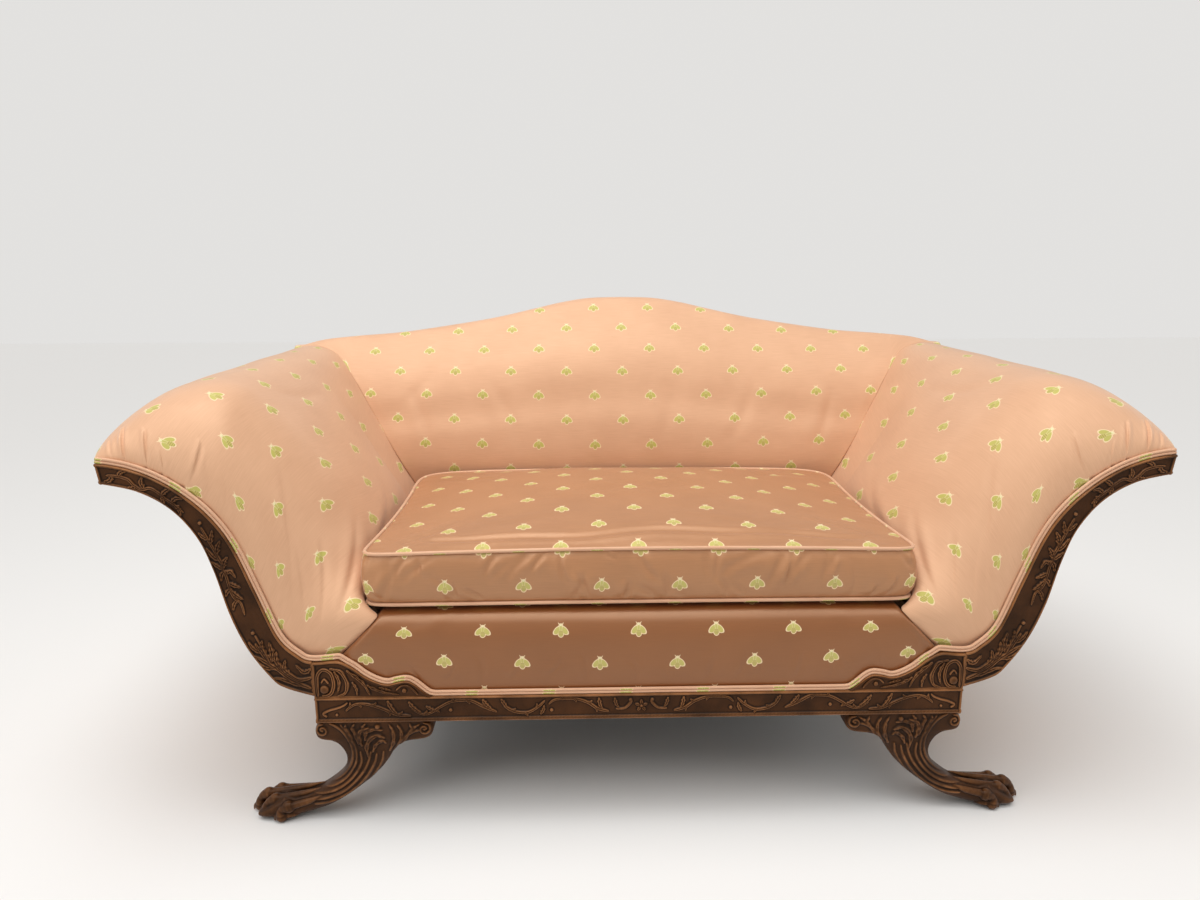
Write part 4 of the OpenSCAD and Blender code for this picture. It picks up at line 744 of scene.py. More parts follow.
leaves = [
    ("stem", 3.4, 3.3, 2.9,
     (903, 974, 855, 954, 796, 906, 747, 830, 717, 740, 717, 640, 758, 529, 842, 433, 954, 365, 1093, 325)),
    ("stem", 3, 2.4, 2.6, (805, 960, 740, 870, 691, 750, 684, 630, 717, 529, 805, 413, 926, 339, 1056, 305)),
    ("stem", 3.2, 2.9, 2.9, (647, 690, 643, 589, 691, 485, 777, 385, 888, 309, 1019, 269, 1149, 253),
     (554, 690, 582, 589, 632, 489, 721, 379, 833, 285, 981, 225, 1112, 209),
     (502, 670, 526, 579, 587, 465, 675, 353, 796, 253, 944, 185, 1093, 165)),
    ("stem", 3, 2.6, 2.6, (442, 690, 461, 589, 526, 469, 619, 349, 730, 249)),
    ("stem", 3.4, 3.1, 2.6, (80, 900, 163, 886, 245, 830, 316, 738, 377, 630, 461, 499, 554, 379, 665, 273)),
    ("leaf", 5, 6.2, 5.2, (576, 640, 587, 730, 554, 810, 489, 850, 420, 826)),
    ("leaf", 4.6, 5.0, 3.8, (535, 690, 502, 760, 442, 800, 413, 770)),
    ("leaf", 5, 5.8, 4.0, (628, 750, 647, 830, 628, 900, 554, 930)),
    ("leaf", 4.6, 5.2, 3.8, (595, 810, 582, 880, 517, 910, 433, 900)),
    ("berry", 5, 5.0, 5.0, (480, 936)),
    ("leaf", 4.6, 5.0, 3.2, (703, 770, 725, 850, 758, 920, 762, 966), (656, 770, 680, 870, 703, 930, 675, 970)),
    ("leaf", 4.8, 5.2, 3.8, (387, 690, 346, 790, 346, 890, 377, 954)),
    ("leaf", 4.8, 5.2, 3.5, (359, 660, 284, 790, 275, 890, 308, 954)),
    ("leaf", 4.6, 5.0, 3.2, (312, 730, 234, 830, 182, 906, 201, 962)),
    ("leaf", 4.4, 4.5, 3.0, (219, 850, 163, 920, 108, 954)),
    ("leaf", 4.4, 4.5, 3.2, (591, 870, 610, 930, 582, 970)),
]
leaves = in_box(leaves, 375, 578, 0, 203)
leaves += [("stem", 4.5, 3.0, 1.8, volute(571, 184, 12, 100, -1.35)), ("berry", 5, 3.4, 3.4, [(571, 184)]),
           ("stem", 4.5, 3.0, 1.8, volute(389, 184, 12, 80, 1.35)), ("berry", 5, 3.4, 3.4, [(389, 184)])]
raised = carve(lx * 1000, lz * 1000, leaves)
ly = ly - (raised - 1.6) / 1000 * smooth((-v - 0.15) / 0.5) * smooth((0.19 - np.abs(lx - 0.47)) / 0.02)
leg_faces = ring_faces(*lx.shape)


def ball(centre, radii):
    """Points and faces of an oval ball."""
    turn, rise = np.meshgrid(np.arange(20) * math.pi / 10, np.linspace(-1.5, 1.5, 13))
    p = np.stack([np.cos(turn) * np.cos(rise), np.sin(turn) * np.cos(rise), np.sin(rise)], -1)
    return (p * radii + centre).reshape(-1, 3), ring_faces(13, 20)


def merged(name, parts, grain_size, rounds):
    """Points and faces of the parts run together into one skin, its edges rounded over."""
    rough = bpy.data.meshes.new(name)
    points, faces = many(parts)
    rough.from_pydata(points.tolist(), [], faces)
    lump = bpy.data.objects.new(name, rough)
    bpy.context.scene.collection.objects.link(lump)
    join = lump.modifiers.new("join", "REMESH")
    join.mode = "VOXEL"
    join.voxel_size = grain_size
    soften = lump.modifiers.new("soften", "SMOOTH")
    soften.iterations = rounds
    whole = bpy.data.meshes.new_from_object(lump.evaluated_get(bpy.context.evaluated_depsgraph_get()))
    points = np.zeros(len(whole.vertices) * 3)
    whole.vertices.foreach_get("co", points)
    faces = [list(f.vertices) for f in whole.polygons]
    bpy.data.objects.remove(lump)
    return points.reshape(-1, 3), faces


# each toe: its knuckle, then where its claw meets the floor, and the sinew's start on the shank
toes = [((644, -430, 30), (658, -430, 10), (578, -424, 50)), ((672, -413, 35), (691, -413, 10), (580, -413, 58)),
        ((690, -395, 36), (708, -394, 10), (582, -400, 61)), ((672, -378, 34), (692, -377, 10), (578, -388, 52))]
paw_parts = [ball((0.655, leg_y, 0.012), (0.034, 0.031, 0.0118))]
for knuckle, claw, sinew in toes:
    k, c, q = (np.array(spot) / 1000 for spot in (knuckle, claw, sinew))
    bend = curve([q, lerp(q, k, 0.45) + (0, 0, -0.002), k, lerp(k, c, 0.5) + (0.006, 0, 0.003), c], 40)
    girth = np.interp(np.linspace(0, 1, 41), [0, 0.25, 0.42, 0.5, 0.62, 0.75, 0.88, 1],
                      [0.001, 0.0058, 0.0068, 0.0105, 0.008, 0.0072, 0.0095, 0.0085])
    paw_parts += [tube(bend, girth, 18), ball(k, (0.0118, 0.0098, 0.0115)), ball(c, (0.0108, 0.0094, 0.0098)),
                  tube(curve([c + (0.004, 0, 0.005), c + (0.0105, 0, 0.001), c + (0.013, 0, -0.0085)], 10),
                       np.linspace(0.005, 0.0012, 11), 10)]
leg_points, leg_faces = merged("leg", [(np.stack([lx, ly, lz], -1), leg_faces), *paw_parts], 0.0013, 2)
leg_points[:, 2] = np.maximum(leg_points[:, 2], 0)
for s, side in ((-1, "left"), (1, "right")):
    leg = make_piece("paw_leg_" + side, leg_points * (s, 1, 1), leg_faces, walnut, "show_wood",
                     stands_for=["front_leg_" + side])
    stands_out(leg.data, 10, 0.0007)

# Rear legs: plain square walnut legs, raked back and tapered, hidden behind the seat.
# Each is bolted up into its corner of the frame.
dress("rear_leg_left", walnut)
dress("rear_leg_right", walnut)


# Satin: peach silk with small gold bees woven in half-drop rows, 137 mm apart and 63 mm from row to row.
# The ground is warp-faced and glossy; the bees are in dull green-gold thread with a cream outline.
column_gap, row_gap = 137.0, 63.25


def bee_satin(name, dark, light, bend):
    satin, shader, add, into = start_finish(name, light, 0.4)

    def sums(operation, *values):
        return add("Math", *values, operation=operation)

    cloth = add("UVMap", uv_map="weave")
    spot = add("SeparateXYZ", cloth).node
    across = sums("MULTIPLY", spot.outputs[0], 1000.0)
    up = sums("MULTIPLY", spot.outputs[1], 1000.0)
    row = sums("ROUND", sums("DIVIDE", up, row_gap))
    odd = sums("ABSOLUTE", sums("MODULO", row, 2.0))
    x = sums("WRAP", sums("ADD", across, sums("MULTIPLY", odd, column_gap / 2)), column_gap / 2, -column_gap / 2)
    y = sums("SUBTRACT", up, sums("MULTIPLY", row, row_gap))
    side = sums("ABSOLUTE", x)
    bee = add("CombineXYZ", side, y)

    def lobe(cx, cy, a, b, turn=0.0):
        """Distance outside an oval of the bee, in millimetres."""
        near = add("Mapping", bee, (cx, cy, 0), (0, 0, math.radians(turn)), (a, b, 1), vector_type="TEXTURE")
        reach = add("VectorMath", near, operation="LENGTH", out=1)
        return sums("MULTIPLY", sums("SUBTRACT", reach, 1.0), min(a, b))

    wing = sums("MINIMUM", lobe(6.4, -0.2, 9.0, 4.5, -50), lobe(7.9, -4.4, 5.0, 3.6, -22))
    tail = lobe(0, -6.2, 4.9, 6.8)
    trunk = sums("MINIMUM", tail, sums("MINIMUM", lobe(0, 3.4, 4.0, 4.6), lobe(0, 8.8, 3.3, 3.0)))
    feeler = sums("ADD", lobe(3.3, 12.0, 1.9, 0.5, 52), 0.5)
    whole = sums("MINIMUM", sums("MINIMUM", wing, trunk), feeler)
    thread = add("TexNoise", add("Mapping", cloth, None, None, (2400.0, 600.0, 1.0)), None, 1.0, 2.0)
    soft = sums("ADD", whole, sums("SUBTRACT", sums("MULTIPLY", thread, 0.9), 0.45))
    gold = add("MapRange", soft, 0.1, -0.5, 0.0, 1.0)
    outline = sums("MULTIPLY", add("MapRange", soft, 0.9, 0.5, 0.0, 1.0),
                   add("MapRange", soft, -0.9, -0.4, 0.0, 1.0))
    seam = sums("MULTIPLY", add("MapRange", sums("ABSOLUTE", sums("SUBTRACT", wing, trunk)), 0.9, 0.3, 0.0, 0.8),
                add("MapRange", soft, -0.6, -1.2, 0.0, 1.0))
    bars = sums("MULTIPLY", add("MapRange", sums("SINE", sums("MULTIPLY", y, 2.1)), 0.1, 0.6, 0.0, 0.7),
                add("MapRange", tail, 0.0, -0.8, 0.0, 1.0))
    slub = add("TexNoise", add("Mapping", cloth, None, None, (22.0, 700.0, 1.0)), None, 1.0, 3.0)
    cloudy = add("TexNoise", cloth, None, 9.0, 3.0)
    ground = mixed(add, add("MapRange", sums("ADD", sums("MULTIPLY", slub, 0.5), sums("MULTIPLY", cloudy, 0.5)),
                            0.3, 0.7, 0.0, 1.0), dark, light)
    colour = mixed(add, gold, ground, (0.5, 0.46, 0.12))
    colour = mixed(add, add("MapRange", lobe(0, 9.4, 2.4, 2.2), 0.2, -0.4, 0.0, 0.8), colour, (0.85, 0.76, 0.5))
    colour = mixed(add, outline, colour, (0.84, 0.66, 0.4))
    colour = mixed(add, seam, colour, (0.75, 0.66, 0.4))
    into("Base Color", mixed(add, bars, colour, (0.33, 0.2, 0.08)))
    into("Roughness", add("MapRange", gold, 0.0, 1.0, 0.41, 0.55))
    into("Tangent", add("Tangent", direction_type="UV_MAP", uv_map="weave"))
    shader.inputs["Anisotropic"].default_value = 0.5
    shader.inputs["Sheen Weight"].default_value = 0.42
    shader.inputs["Sheen Roughness"].default_value = 0.35
    shader.inputs["Sheen Tint"].default_value = (1, 0.8, 0.64, 1)
    shader.inputs["IOR"].default_value = bend
    shader.inputs["Specular IOR Level"].default_value = 0.55
    shader.inputs["Specular Tint"].default_value = (1, 0.72, 0.5, 1)
    twill = add("TexNoise", add("Mapping", cloth, None, None, (500.0, 2600.0, 1.0)), None, 1.0, 1.0)
    into("Normal", add("Bump", 0.25, 0.0004, None, sums("ADD", twill, sums("MULTIPLY", gold, 0.8))))
    return satin


satin = bee_satin("bee_satin", (0.62, 0.35, 0.21), (0.73, 0.435, 0.268), 1.5)
# a darker copy of the same satin for the cushion: painted shade
shaded_seat_satin = bee_satin("shaded_seat_satin", (0.345, 0.15, 0.064), (0.43, 0.193, 0.084), 2.0)
# a much darker copy of the same satin for the front border: painted shade
deep_shaded_border_satin = bee_satin("deep_shaded_border_satin", (0.18, 0.052, 0.01), (0.225, 0.068, 0.014), 2.0)

# Front border: a stuffed roll over the hidden front rail, its cover tacked along the show wood
# and drawn over the top edge, where it meets the deck.
pad_front_y, deck_h, frame_top = front_y + 0.008, 0.402, 0.33
border_shares = [[0.02, 0], [0.01, 0.1], [-0.045, 0.32], [-0.04, 0.56], [0, 0.72],
                 [0.07, 0.83], [0.16, 0.91], [0.3, 0.97], [0.5, 1], [1, 1]]
seat_half, tip_x = 0.492, 0.925
border_top_half = lerp(seat_half, tip_x, -0.081)
wood_x0, wood_z0 = wood_edge[0] / 1000


def border_half(z):
    return lerp(wood_x0, border_top_half, np.clip((z - wood_z0) / (deck_h - wood_z0), 0, None)) - 0.0003


def folds(u, v, lines):
    """Height of soft folds over cloth laid out in millimetres. Each runs between two points, with the
    half width of its hollow and the height of the ridge beside it."""
    total = np.zeros(np.broadcast(u, v).shape)
    for u0, v0, u1, v1, wide, high in lines:
        run = math.hypot(u1 - u0, v1 - v0)
        du, dv = (u1 - u0) / run, (v1 - v0) / run
        t = ((u - u0) * du + (v - v0) * dv) / run
        off = (-(u - u0) * dv + (v - v0) * du + 0.05 * run * np.sin(math.pi * t)) / wide
        body_of = np.clip(np.sin(math.pi * np.clip(t, 0, 1)), 0, 1) ** 0.7
        total += high * body_of * (np.exp(-(off - 1.1) ** 2) - 1.1 * np.exp(-(off * 1.6) ** 2)
                                   + 0.5 * np.exp(-(off + 1.3) ** 2))
    return total


section = curve(border_shares, 110)
cols = np.linspace(-1, 1, 620)
border_depth = 0.028 + 0.048 - 0.008 + 0.006
z0 = np.interp(np.abs(cols * wood_x0), ogee[:, 0] / 1000, ogee[:, 1] / 1000, rail_top)
z0 = np.maximum(rail_top, z0) + 0.0012
z = lerp(z0[None, :], deck_h, section[:, 1:2])
outer = np.stack([cols * border_half(z), pad_front_y + border_depth * section[:, 0:1] + 0 * z, z], -1)
chance = np.random.default_rng(7)
drags = [(1000 * q, 268 + 20 * chance.random(), 1000 * q + chance.normal(0, 14), 300 + 30 * chance.random(),
          6 + 5 * chance.random(), 0.7 + 0.5 * chance.random())
         for q in np.linspace(-0.5, 0.5, 19) + chance.normal(0, 0.01, 19)]
drags += [(s * 470, 384, s * 536, 300, 9, 1.6) for s in (-1, 1)]
plump = (0.8 * np.sin(9 * cols * 0.55 + 1) * np.sin(math.pi * section[:, 1:2])
         + folds(outer[..., 0] * 1000, outer[..., 2] * 1000, drags))
outer[..., 1] -= plump / 1000 * smooth(section[:, 1:2] / 0.15) * smooth((1 - section[:, 1:2]) / 0.15)
rolled_in = (1 - np.clip((1 - np.abs(cols)) * 0.53 / 0.009, 0, 1)) ** 2.2
outer[..., 1] += 0.007 * rolled_in * smooth((1 - section[:, 1:2]) / 0.1)
t = np.linspace(0, 1, 111)[:, None]
iz = lerp(z0[None, :], frame_top + 0.0003, np.clip(t / 0.4, 0, 1))
iy = wood_back_y + 0.054 * np.clip((t - 0.4) / 0.6, 0, 1) + 0 * iz
inner = np.stack([cols * border_half(iz), iy, iz], -1)
run_v = run_along(outer)
level_v = np.array([np.interp(0.37, outer[:, k, 2], run_v[:, k]) for k in range(len(cols))])
weave = np.stack([outer[..., 0] + 0.005, (run_v - level_v) * row_gap / 61], -1)
border = shell_piece("border_roll", outer, inner, weave, deep_shaded_border_satin, "bee_satin", stands_for=["front_border"])


# Arms: stuffed over the arm rails in one sweep from the deck up and out to the rolled tip.
# The cover is tacked along the facing, with its fullness folded into tucks at the front.
arm_shares = [[0, 0], [0.012, 0.118], [0.1, 0.303], [0.24, 0.559], [0.372, 0.787],
              [0.497, 0.941], [0.612, 0.996], [0.723, 0.996], [0.827, 0.962], [0.919, 0.897],
              [0.98, 0.83], [1, 0.777], [0.984, 0.733]]
arm_profile = place_shares(arm_shares, 492, 925, 402, 792)
arm_round, arm_swell = 0.19, 0.024
back_t, rear_y = 0.036, 0.442


def back_plane_y(z):
    """Front plane of the leaning back frame at the height z."""
    return rear_y - 0.008 - back_t - (0.91 - 0.03 - z) * lean


def arm_profile_at(i):
    return along(arm_profile, np.clip(i, 0, 24) / 24) / 1000


def wood_edge_at(i):
    return along(wood_edge, np.clip(i, 0, 24) / 24) / 1000


swell_length = 0.85 * (0.1935 - pad_front_y)


def arm_point(i, depth):
    """Padded surface of the right arm at step i of its section, at a depth behind its front."""
    long = arm_round * lerp(0.2, 1, smooth(i / 5))
    start = lerp(0.68, 0.12, smooth(i / 5))
    u = 1 - np.minimum(1, depth / long)
    rise = lerp(start, 1, (1 - u ** 2.2) ** (1 / 2.2))
    v = arm_profile_at(i + 1) - arm_profile_at(i - 1)
    v /= np.linalg.norm(v, axis=-1)[..., None]
    share = smooth((i - 1) / 3) * smooth((10 - i) / 5)
    swell = arm_swell * share * np.sin(math.pi * np.clip(depth / swell_length, 0, 1))
    p = arm_profile_at(i)
    foot_x = lerp(border_top_half, seat_half, smooth(depth / (arm_round * 0.2) - 0.2))
    p[..., 0] = np.where(i < 2, lerp(foot_x, p[..., 0], np.clip(i / 2, 0, 1)), p[..., 0])
    p = p + swell[..., None] * np.stack([-v[..., 1], v[..., 0]], -1)
    return lerp(wood_edge_at(i) + np.array((0, 0.0003)), p, rise[..., None])


steps = np.linspace(0, 24, 330)[None, :]
fold = np.linspace(0, 1, 13)[:-1, None]
rear = back_plane_y(arm_profile_at(steps)[..., 1]) - 0.0003 + back_t * smooth((steps - 12) / 3)
reach = (rear - pad_front_y) * np.linspace(0, 1, 300)[:, None] ** 1.4
skin = arm_point(np.broadcast_to(steps, reach.shape), reach)
skin = np.stack([skin[..., 0], pad_front_y + reach, skin[..., 1]], -1)
edge = wood_edge_at(np.broadcast_to(steps, (12, 330)))
start = arm_point(steps, 0 * steps)
face = lerp(edge, np.broadcast_to(start, edge.shape), fold[..., None])
face_y = pad_front_y + 0.007 * (1 - np.sin(math.pi / 2 * fold)) + 0 * edge[..., 0]
face = np.stack([face[..., 0], face_y, face[..., 1]], -1)
outer = np.concatenate([face, skin])
frame_edge = lerp(wood_edge_at(steps), arm_profile_at(steps), 0.42)
inner = np.broadcast_to(frame_edge, (*outer.shape[:2], 2))
inner = np.stack([inner[..., 0], np.maximum(outer[..., 1] + 0.012, wood_back_y), inner[..., 1]], -1)
inner[:, :, 1] = np.minimum(inner[:, :, 1], np.maximum(outer[..., 1], wood_back_y))
inner[0] = outer[0] + np.array((0, 0.006, 0))
# the cover lies at a slant: it is drawn in at the foot of the arm and turns with the roll of the tip
run_d = 10 * run_along(outer)
run_s = 10 * run_along(skin[135])[None, :]
weave = np.stack([-73.5 + 76.4 * run_d - 52.2 * run_s - 1.5 * run_d ** 2 + 4.8 * run_d * run_s + 6.8 * run_s ** 2,
                  -466.4 + 50.8 * run_d + 76.7 * run_s - 5.1 * run_d ** 2 + 1.2 * run_d * run_s + 2 * run_s ** 2], -1)
weave /= 1000
# tucks at the tip, where the fullness is folded in, then drags from the foot of the arm up over it
tucks = [(-8, 646, 90, 636, 4.6, 5.2), (-8, 606, 92, 590, 4.6, 5.8), (-8, 580, 66, 564, 4.4, 4.6),
         (-8, 548, 132, 490, 5.0, 6.2), (4, 512, 90, 478, 8, 1.8), (4, 470, 110, 440, 9, 1.4), (6, 668, 60, 664, 5, 1.8),
         (20, 70, 210, 190, 13, 2.4), (50, 40, 300, 150, 15, 2.2), (30, 130, 190, 260, 15, 1.8),
         (130, 30, 420, 110, 16, 1.8), (60, 200, 260, 330, 17, 1.4), (250, 60, 520, 140, 18, 1.5),
         (420, 420, 640, 380, 20, 1.2), (300, 560, 560, 540, 22, 1.2)]
lift = (folds(run_d * 100, run_s * 100, tucks)
        + 1.2 * np.sin(1.7 * run_d + 1.1 * run_s) * np.sin(1.3 * run_s - 0.6 * run_d + 1))
way = np.gradient(outer[..., [0, 2]], axis=1)
way /= np.linalg.norm(way, axis=-1)[..., None]
lift *= (smooth(run_d / 0.05) * smooth((run_d[-1:] - run_d) / 0.4)
         * smooth(run_s / 0.3) * smooth((run_s[:, -1:] - run_s) / 0.25))
outer[..., 1] += (0.007 * (1 - np.clip(run_s / 0.11, 0, 1)) ** 2.2
                  * np.exp(-(run_d / 0.9) ** 2) * smooth(run_d / 0.05))
outer[..., 0] -= way[..., 1] * lift / 1000
outer[..., 2] += way[..., 0] * lift / 1000
for s, side in ((-1, "left"), (1, "right")):
    arm = shell_piece("stuffed_arm_" + side, outer * (s, 1, 1), inner * (s, 1, 1), weave, satin, "bee_satin",
                      stands_for=["arm_pad_" + side])

# Outside arms: a thin board under a layer of wadding, covered in the same satin, from the bottom
# of the side rail round under the roll to the tip of the arm.
outside = np.concatenate([[[578, 203]], curve(facing_outer, 200),
                          [lerp(wood_edge[-1], arm_profile[-1], 0.42) - (0, 0.6)]])
outside = even(outside, 260) / 1000
inside = beside(outside, 0.003)
rows = np.linspace(0, 1, 60)[:, None]
line_y = wood_back_y + (back_plane_y(outside[:, 1]) + back_t - wood_back_y) * rows
outer, inner = (np.stack(np.broadcast_arrays(p[:, 0], line_y, p[:, 1]), -1) for p in (outside, inside))
run_s = run_along(outside)
weave = np.stack([line_y, np.broadcast_to(run_s, line_y.shape)], -1)
for s, side in ((-1, "left"), (1, "right")):
    shell_piece("outside_arm_cover_" + side, outer * (s, 1, 1), inner * (s, 1, 1), weave, satin, "bee_satin",
                stands_for=["outside_arm_" + side], sharp=True)


# Inside back: one deep stuffed pad from the deck up over the top rail, higher in the middle. Its satin
# is drawn down behind the seat and in beside the arms, and tacked over the back of the rail.
section_shares = [[0, -0.04], [0.02, 0.07], [0.075, 0.235], [0.147, 0.43], [0.242, 0.645],
                  [0.348, 0.795], [0.465, 0.88], [0.58, 0.99], [0.72, 1], [0.86, 0.88], [1, 0.75]]
roll_shares = [[0.35, 0], [0.75, 0.05], [1.07, 0.18], [1.135, 0.48], [1.135, 1]]
crest_shares = [[0, 1], [0.1, 0.98], [0.19, 0.885], [0.27, 0.76], [0.4, 0.565], [0.55, 0.4],
                [0.69, 0.27], [0.83, 0.195], [0.93, 0.12], [1, 0]]
crest = curve(place_shares(crest_shares, 0, 0.812, 0.7923, 0.91), 300)
full_section = curve(section_shares, 200)
full_roll = curve(roll_shares, 20)
foot = arm_profile_at(np.linspace(0, 15, 90)) + np.array((-0.0003, 0.0003))
middle = np.stack([np.linspace(-foot[0, 0], foot[0, 0], 180)[1:-1], np.full(178, foot[0, 1])], -1)
foot = np.concatenate([foot[::-1] * (-1, 1), middle, foot])
top = np.interp(np.abs(foot[:, 0]), crest[:, 0], crest[:, 1])[None, :]
tall = top - foot[:, 1][None, :]
lap = np.minimum(0.03, tall * 0.9)
t = (np.linspace(1, 0, 90) ** 1.35)[:, None]
fz = top - tall * t
fy = back_plane_y(fz) - 0.122 * np.interp((top - fz) / (top - deck_h), full_section[:, 0], full_section[:, 1])
# the stuffing is a little uneven, and the cover drags where it is pulled down behind the seat and the arms
pulls = [(s * a, b, s * c, d, w, h) for s in (-1, 1) for a, b, c, d, w, h in
         ((250, 560, 330, 720, 22, 1.4), (470, 560, 520, 700, 20, 1.8), (560, 640, 420, 800, 24, 1.4),
          (640, 740, 480, 840, 22, 1.2), (90, 570, 120, 700, 26, 1.0))]
uneven = (folds(foot[:, 0] * 1000, fz * 1000, pulls)
          + 1.3 * np.sin(11 * foot[:, 0] + 7 * fz) * np.sin(15 * fz + 1))
fy -= uneven / 1000 * smooth((top - fz) / 0.05) * smooth((fz - foot[:, 1][None, :]) / 0.04)
rz = top - lap * full_roll[1:, 1:2]
ry = back_plane_y(rz) + back_t * full_roll[1:, 0:1]
x = np.broadcast_to(foot[:, 0], (110, len(foot)))
outer = np.stack([x, np.concatenate([fy, ry]), np.concatenate([fz, rz])], -1)
for _ in range(4):
    outer[86:108, :, 1:] = (outer[85:107, :, 1:] + 2 * outer[86:108, :, 1:] + outer[87:109, :, 1:]) / 4
iz = np.concatenate([top - lerp(lap, tall, t), np.broadcast_to(top - lap + 0.0003, (20, len(foot)))])
iy = np.concatenate([back_plane_y(iz[:90]) - 0.0019,
                     back_plane_y(iz[90:]) + back_t * (np.arange(20)[:, None] + 1) / 20])
inner = np.stack([x, iy, iz], -1)
run_v = run_along(outer)
level_v = np.array([np.interp(0.737, outer[:90, k, 2], run_v[:90, k]) for k in range(len(foot))])
weave = np.stack([x, (run_v - level_v) * row_gap / 61], -1)
inside_back = shell_piece("inside_back", outer, inner, weave, satin, "bee_satin", stands_for=["back_pad"])

# Outside back: a thin board covered in satin, closing the frame from the rear rail to the top roll.
# It is put on last, over the tacked edges of the other covers.
nose = lerp(wood_edge_at(np.linspace(24, 16, 60)), arm_profile_at(np.linspace(24, 16, 60)), 0.9)
end = np.concatenate([[[0.575, rail_low]], curve(facing_outer, 120) / 1000, nose])
crown = np.stack([foot[::-1, 0], (top - lap)[0, ::-1] - 0.0006], -1)
outline = np.concatenate([end, crown, end[::-1] * (-1, 1)])
near = np.stack([outline[:, 0], back_plane_y(outline[:, 1]) + back_t, outline[:, 1]], -1)
far = near + np.array((0, 0.004, 0))
n = len(outline)
faces = [list(range(n)), list(range(2 * n - 1, n - 1, -1))]
faces += [[i, (i + 1) % n, (i + 1) % n + n, i + n] for i in range(n)]
make_piece("outside_back_cover", np.concatenate([near, far]), faces, satin, "bee_satin",
           stands_for=["outside_back"], weave=np.concatenate([outline, outline]), sharp=True)


# Double welt: two cords side by side in one bias strip of the satin, glued over the tacks along
# the whole edge of the show wood.
welt_d = 0.0054
ogee_part = ogee[ogee[:, 0] < wood_edge[0, 0] - 2 * welt_d * 1000]
half_line = np.concatenate([[[0, 251]], ogee_part, curve(wood_edge, 300)]) / 1000
line = np.concatenate([half_line[:0:-1] * (-1, 1), half_line])
line = even(line, 1500)
welt_satin = bee_satin("welt_satin", (0.6, 0.33, 0.2), (0.74, 0.46, 0.3), 1.5)


def round_weave(path, step):
    """Weave coordinates of a cord with twelve sides, each a step wide."""
    return np.stack(np.broadcast_arrays(run_along(path)[:, None], np.arange(12) * step), -1).reshape(-1, 2)


cords, weave = [], []
for k in (0, 1):
    path = beside(line, welt_d * (k + 0.5) + 0.0002)
    path = np.stack([path[:, 0], np.full(len(path), pad_front_y - 0.0026), path[:, 1]], -1)
    cords.append(tube(path, welt_d / 2, 12))
    weave.append(round_weave(path, 0.0014))
make_piece("double_welt_cords", *many(cords), welt_satin, "welt_satin", stands_for=["double_welt"],
           weave=np.concatenate(weave))

# Loose cushion: a feather box cushion in the satin, two panels and a boxing strip with welted seams.
# It is crowned on top, creased behind its front seam, and lies loose on the deck.
cushion_w, cushion_y0, cushion_back = 0.976, front_y + 0.031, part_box("seat_cushion")[1][1]
boxing_h, crown_h, boxing_swell, side_draw = 0.092, 0.048, 0.012, 0.016
cushion_d = cushion_back - boxing_swell - cushion_y0
cushion_y = cushion_y0 + cushion_d / 2
bottom_z, bottom_seam = deck_h + 0.0003, deck_h + 0.012


def outline_unit(a, b):
    """Where the line from the middle through a, b meets the cushion's squarish outline, and its share of it."""
    s = np.maximum(np.abs(a), np.abs(b))
    a, b = np.where(s < 1e-6, 1, a / np.maximum(s, 1e-6)), b / np.maximum(s, 1e-6)
    sharp = np.where(b < 0, 26, 9)
    k = (np.abs(a) ** sharp + np.abs(b) ** sharp) ** (-1 / sharp)
    return a * k, b * k, s


def cushion_xy(ux, uy, r, swell):
    v, h = 1 - uy * uy, 1 - ux * ux
    return (ux * (r * (cushion_w / 2 - side_draw * v) + swell * (0.75 + 0.25 * v)),
            cushion_y + uy * (r * (cushion_d / 2 - side_draw / 4 * h) + swell))


def top_seam_z(ux, uy):
    return bottom_seam + boxing_h * (1 + 0.07 * (1 - ux * ux)) - 0.004 * (1 + uy) / 2


na, nb, nz = 380, 240, 28
ga, gb = np.meshgrid(np.linspace(-1, 1, na + 1), np.linspace(-1, 1, nb + 1))
ux, uy, r = outline_unit(ga, gb)
x, y = cushion_xy(ux, uy, r, 0)
middle_z = bottom_seam + boxing_h * 1.07
crown = (1 - np.abs(ux * r) ** 2.3) * (1 - np.abs(uy * r) ** 2.7)
top_z = lerp(middle_z, top_seam_z(ux, uy), r) + (bottom_seam + boxing_h + crown_h - middle_z) * crown
mm_x, mm_y = x * 1000, (y - cushion_y0) * 1000
crease_y = 46 + 7 * np.sin(0.009 * mm_x + 0.4) + 3 * np.sin(0.027 * mm_x + 1)
off = (mm_y - crease_y) / 9
hollow = 1.6 * np.exp(-(off + 1.5) ** 2) - 2.8 * np.exp(-off ** 2) + 1.2 * np.exp(-(off - 1.6) ** 2)
hollow = hollow * smooth((440 - np.abs(mm_x)) / 90)
rumples = [(-440, 40, -330, 120, 14, 2.2), (440, 38, 320, 130, 14, 2.2), (-300, 90, -120, 130, 22, 1.3),
           (60, 110, 300, 90, 24, 1.4), (-200, 260, 160, 300, 40, 1.6), (-420, 500, -300, 420, 22, 1.5),
           (420, 510, 290, 430, 22, 1.5), (-150, 60, 30, 75, 16, 1.1), (180, 66, 340, 84, 14, 1.2)]
soft_top = hollow + folds(mm_x, mm_y, rumples) + 1.4 * np.sin(0.017 * mm_x + 1) * np.sin(0.019 * mm_y + 0.5)
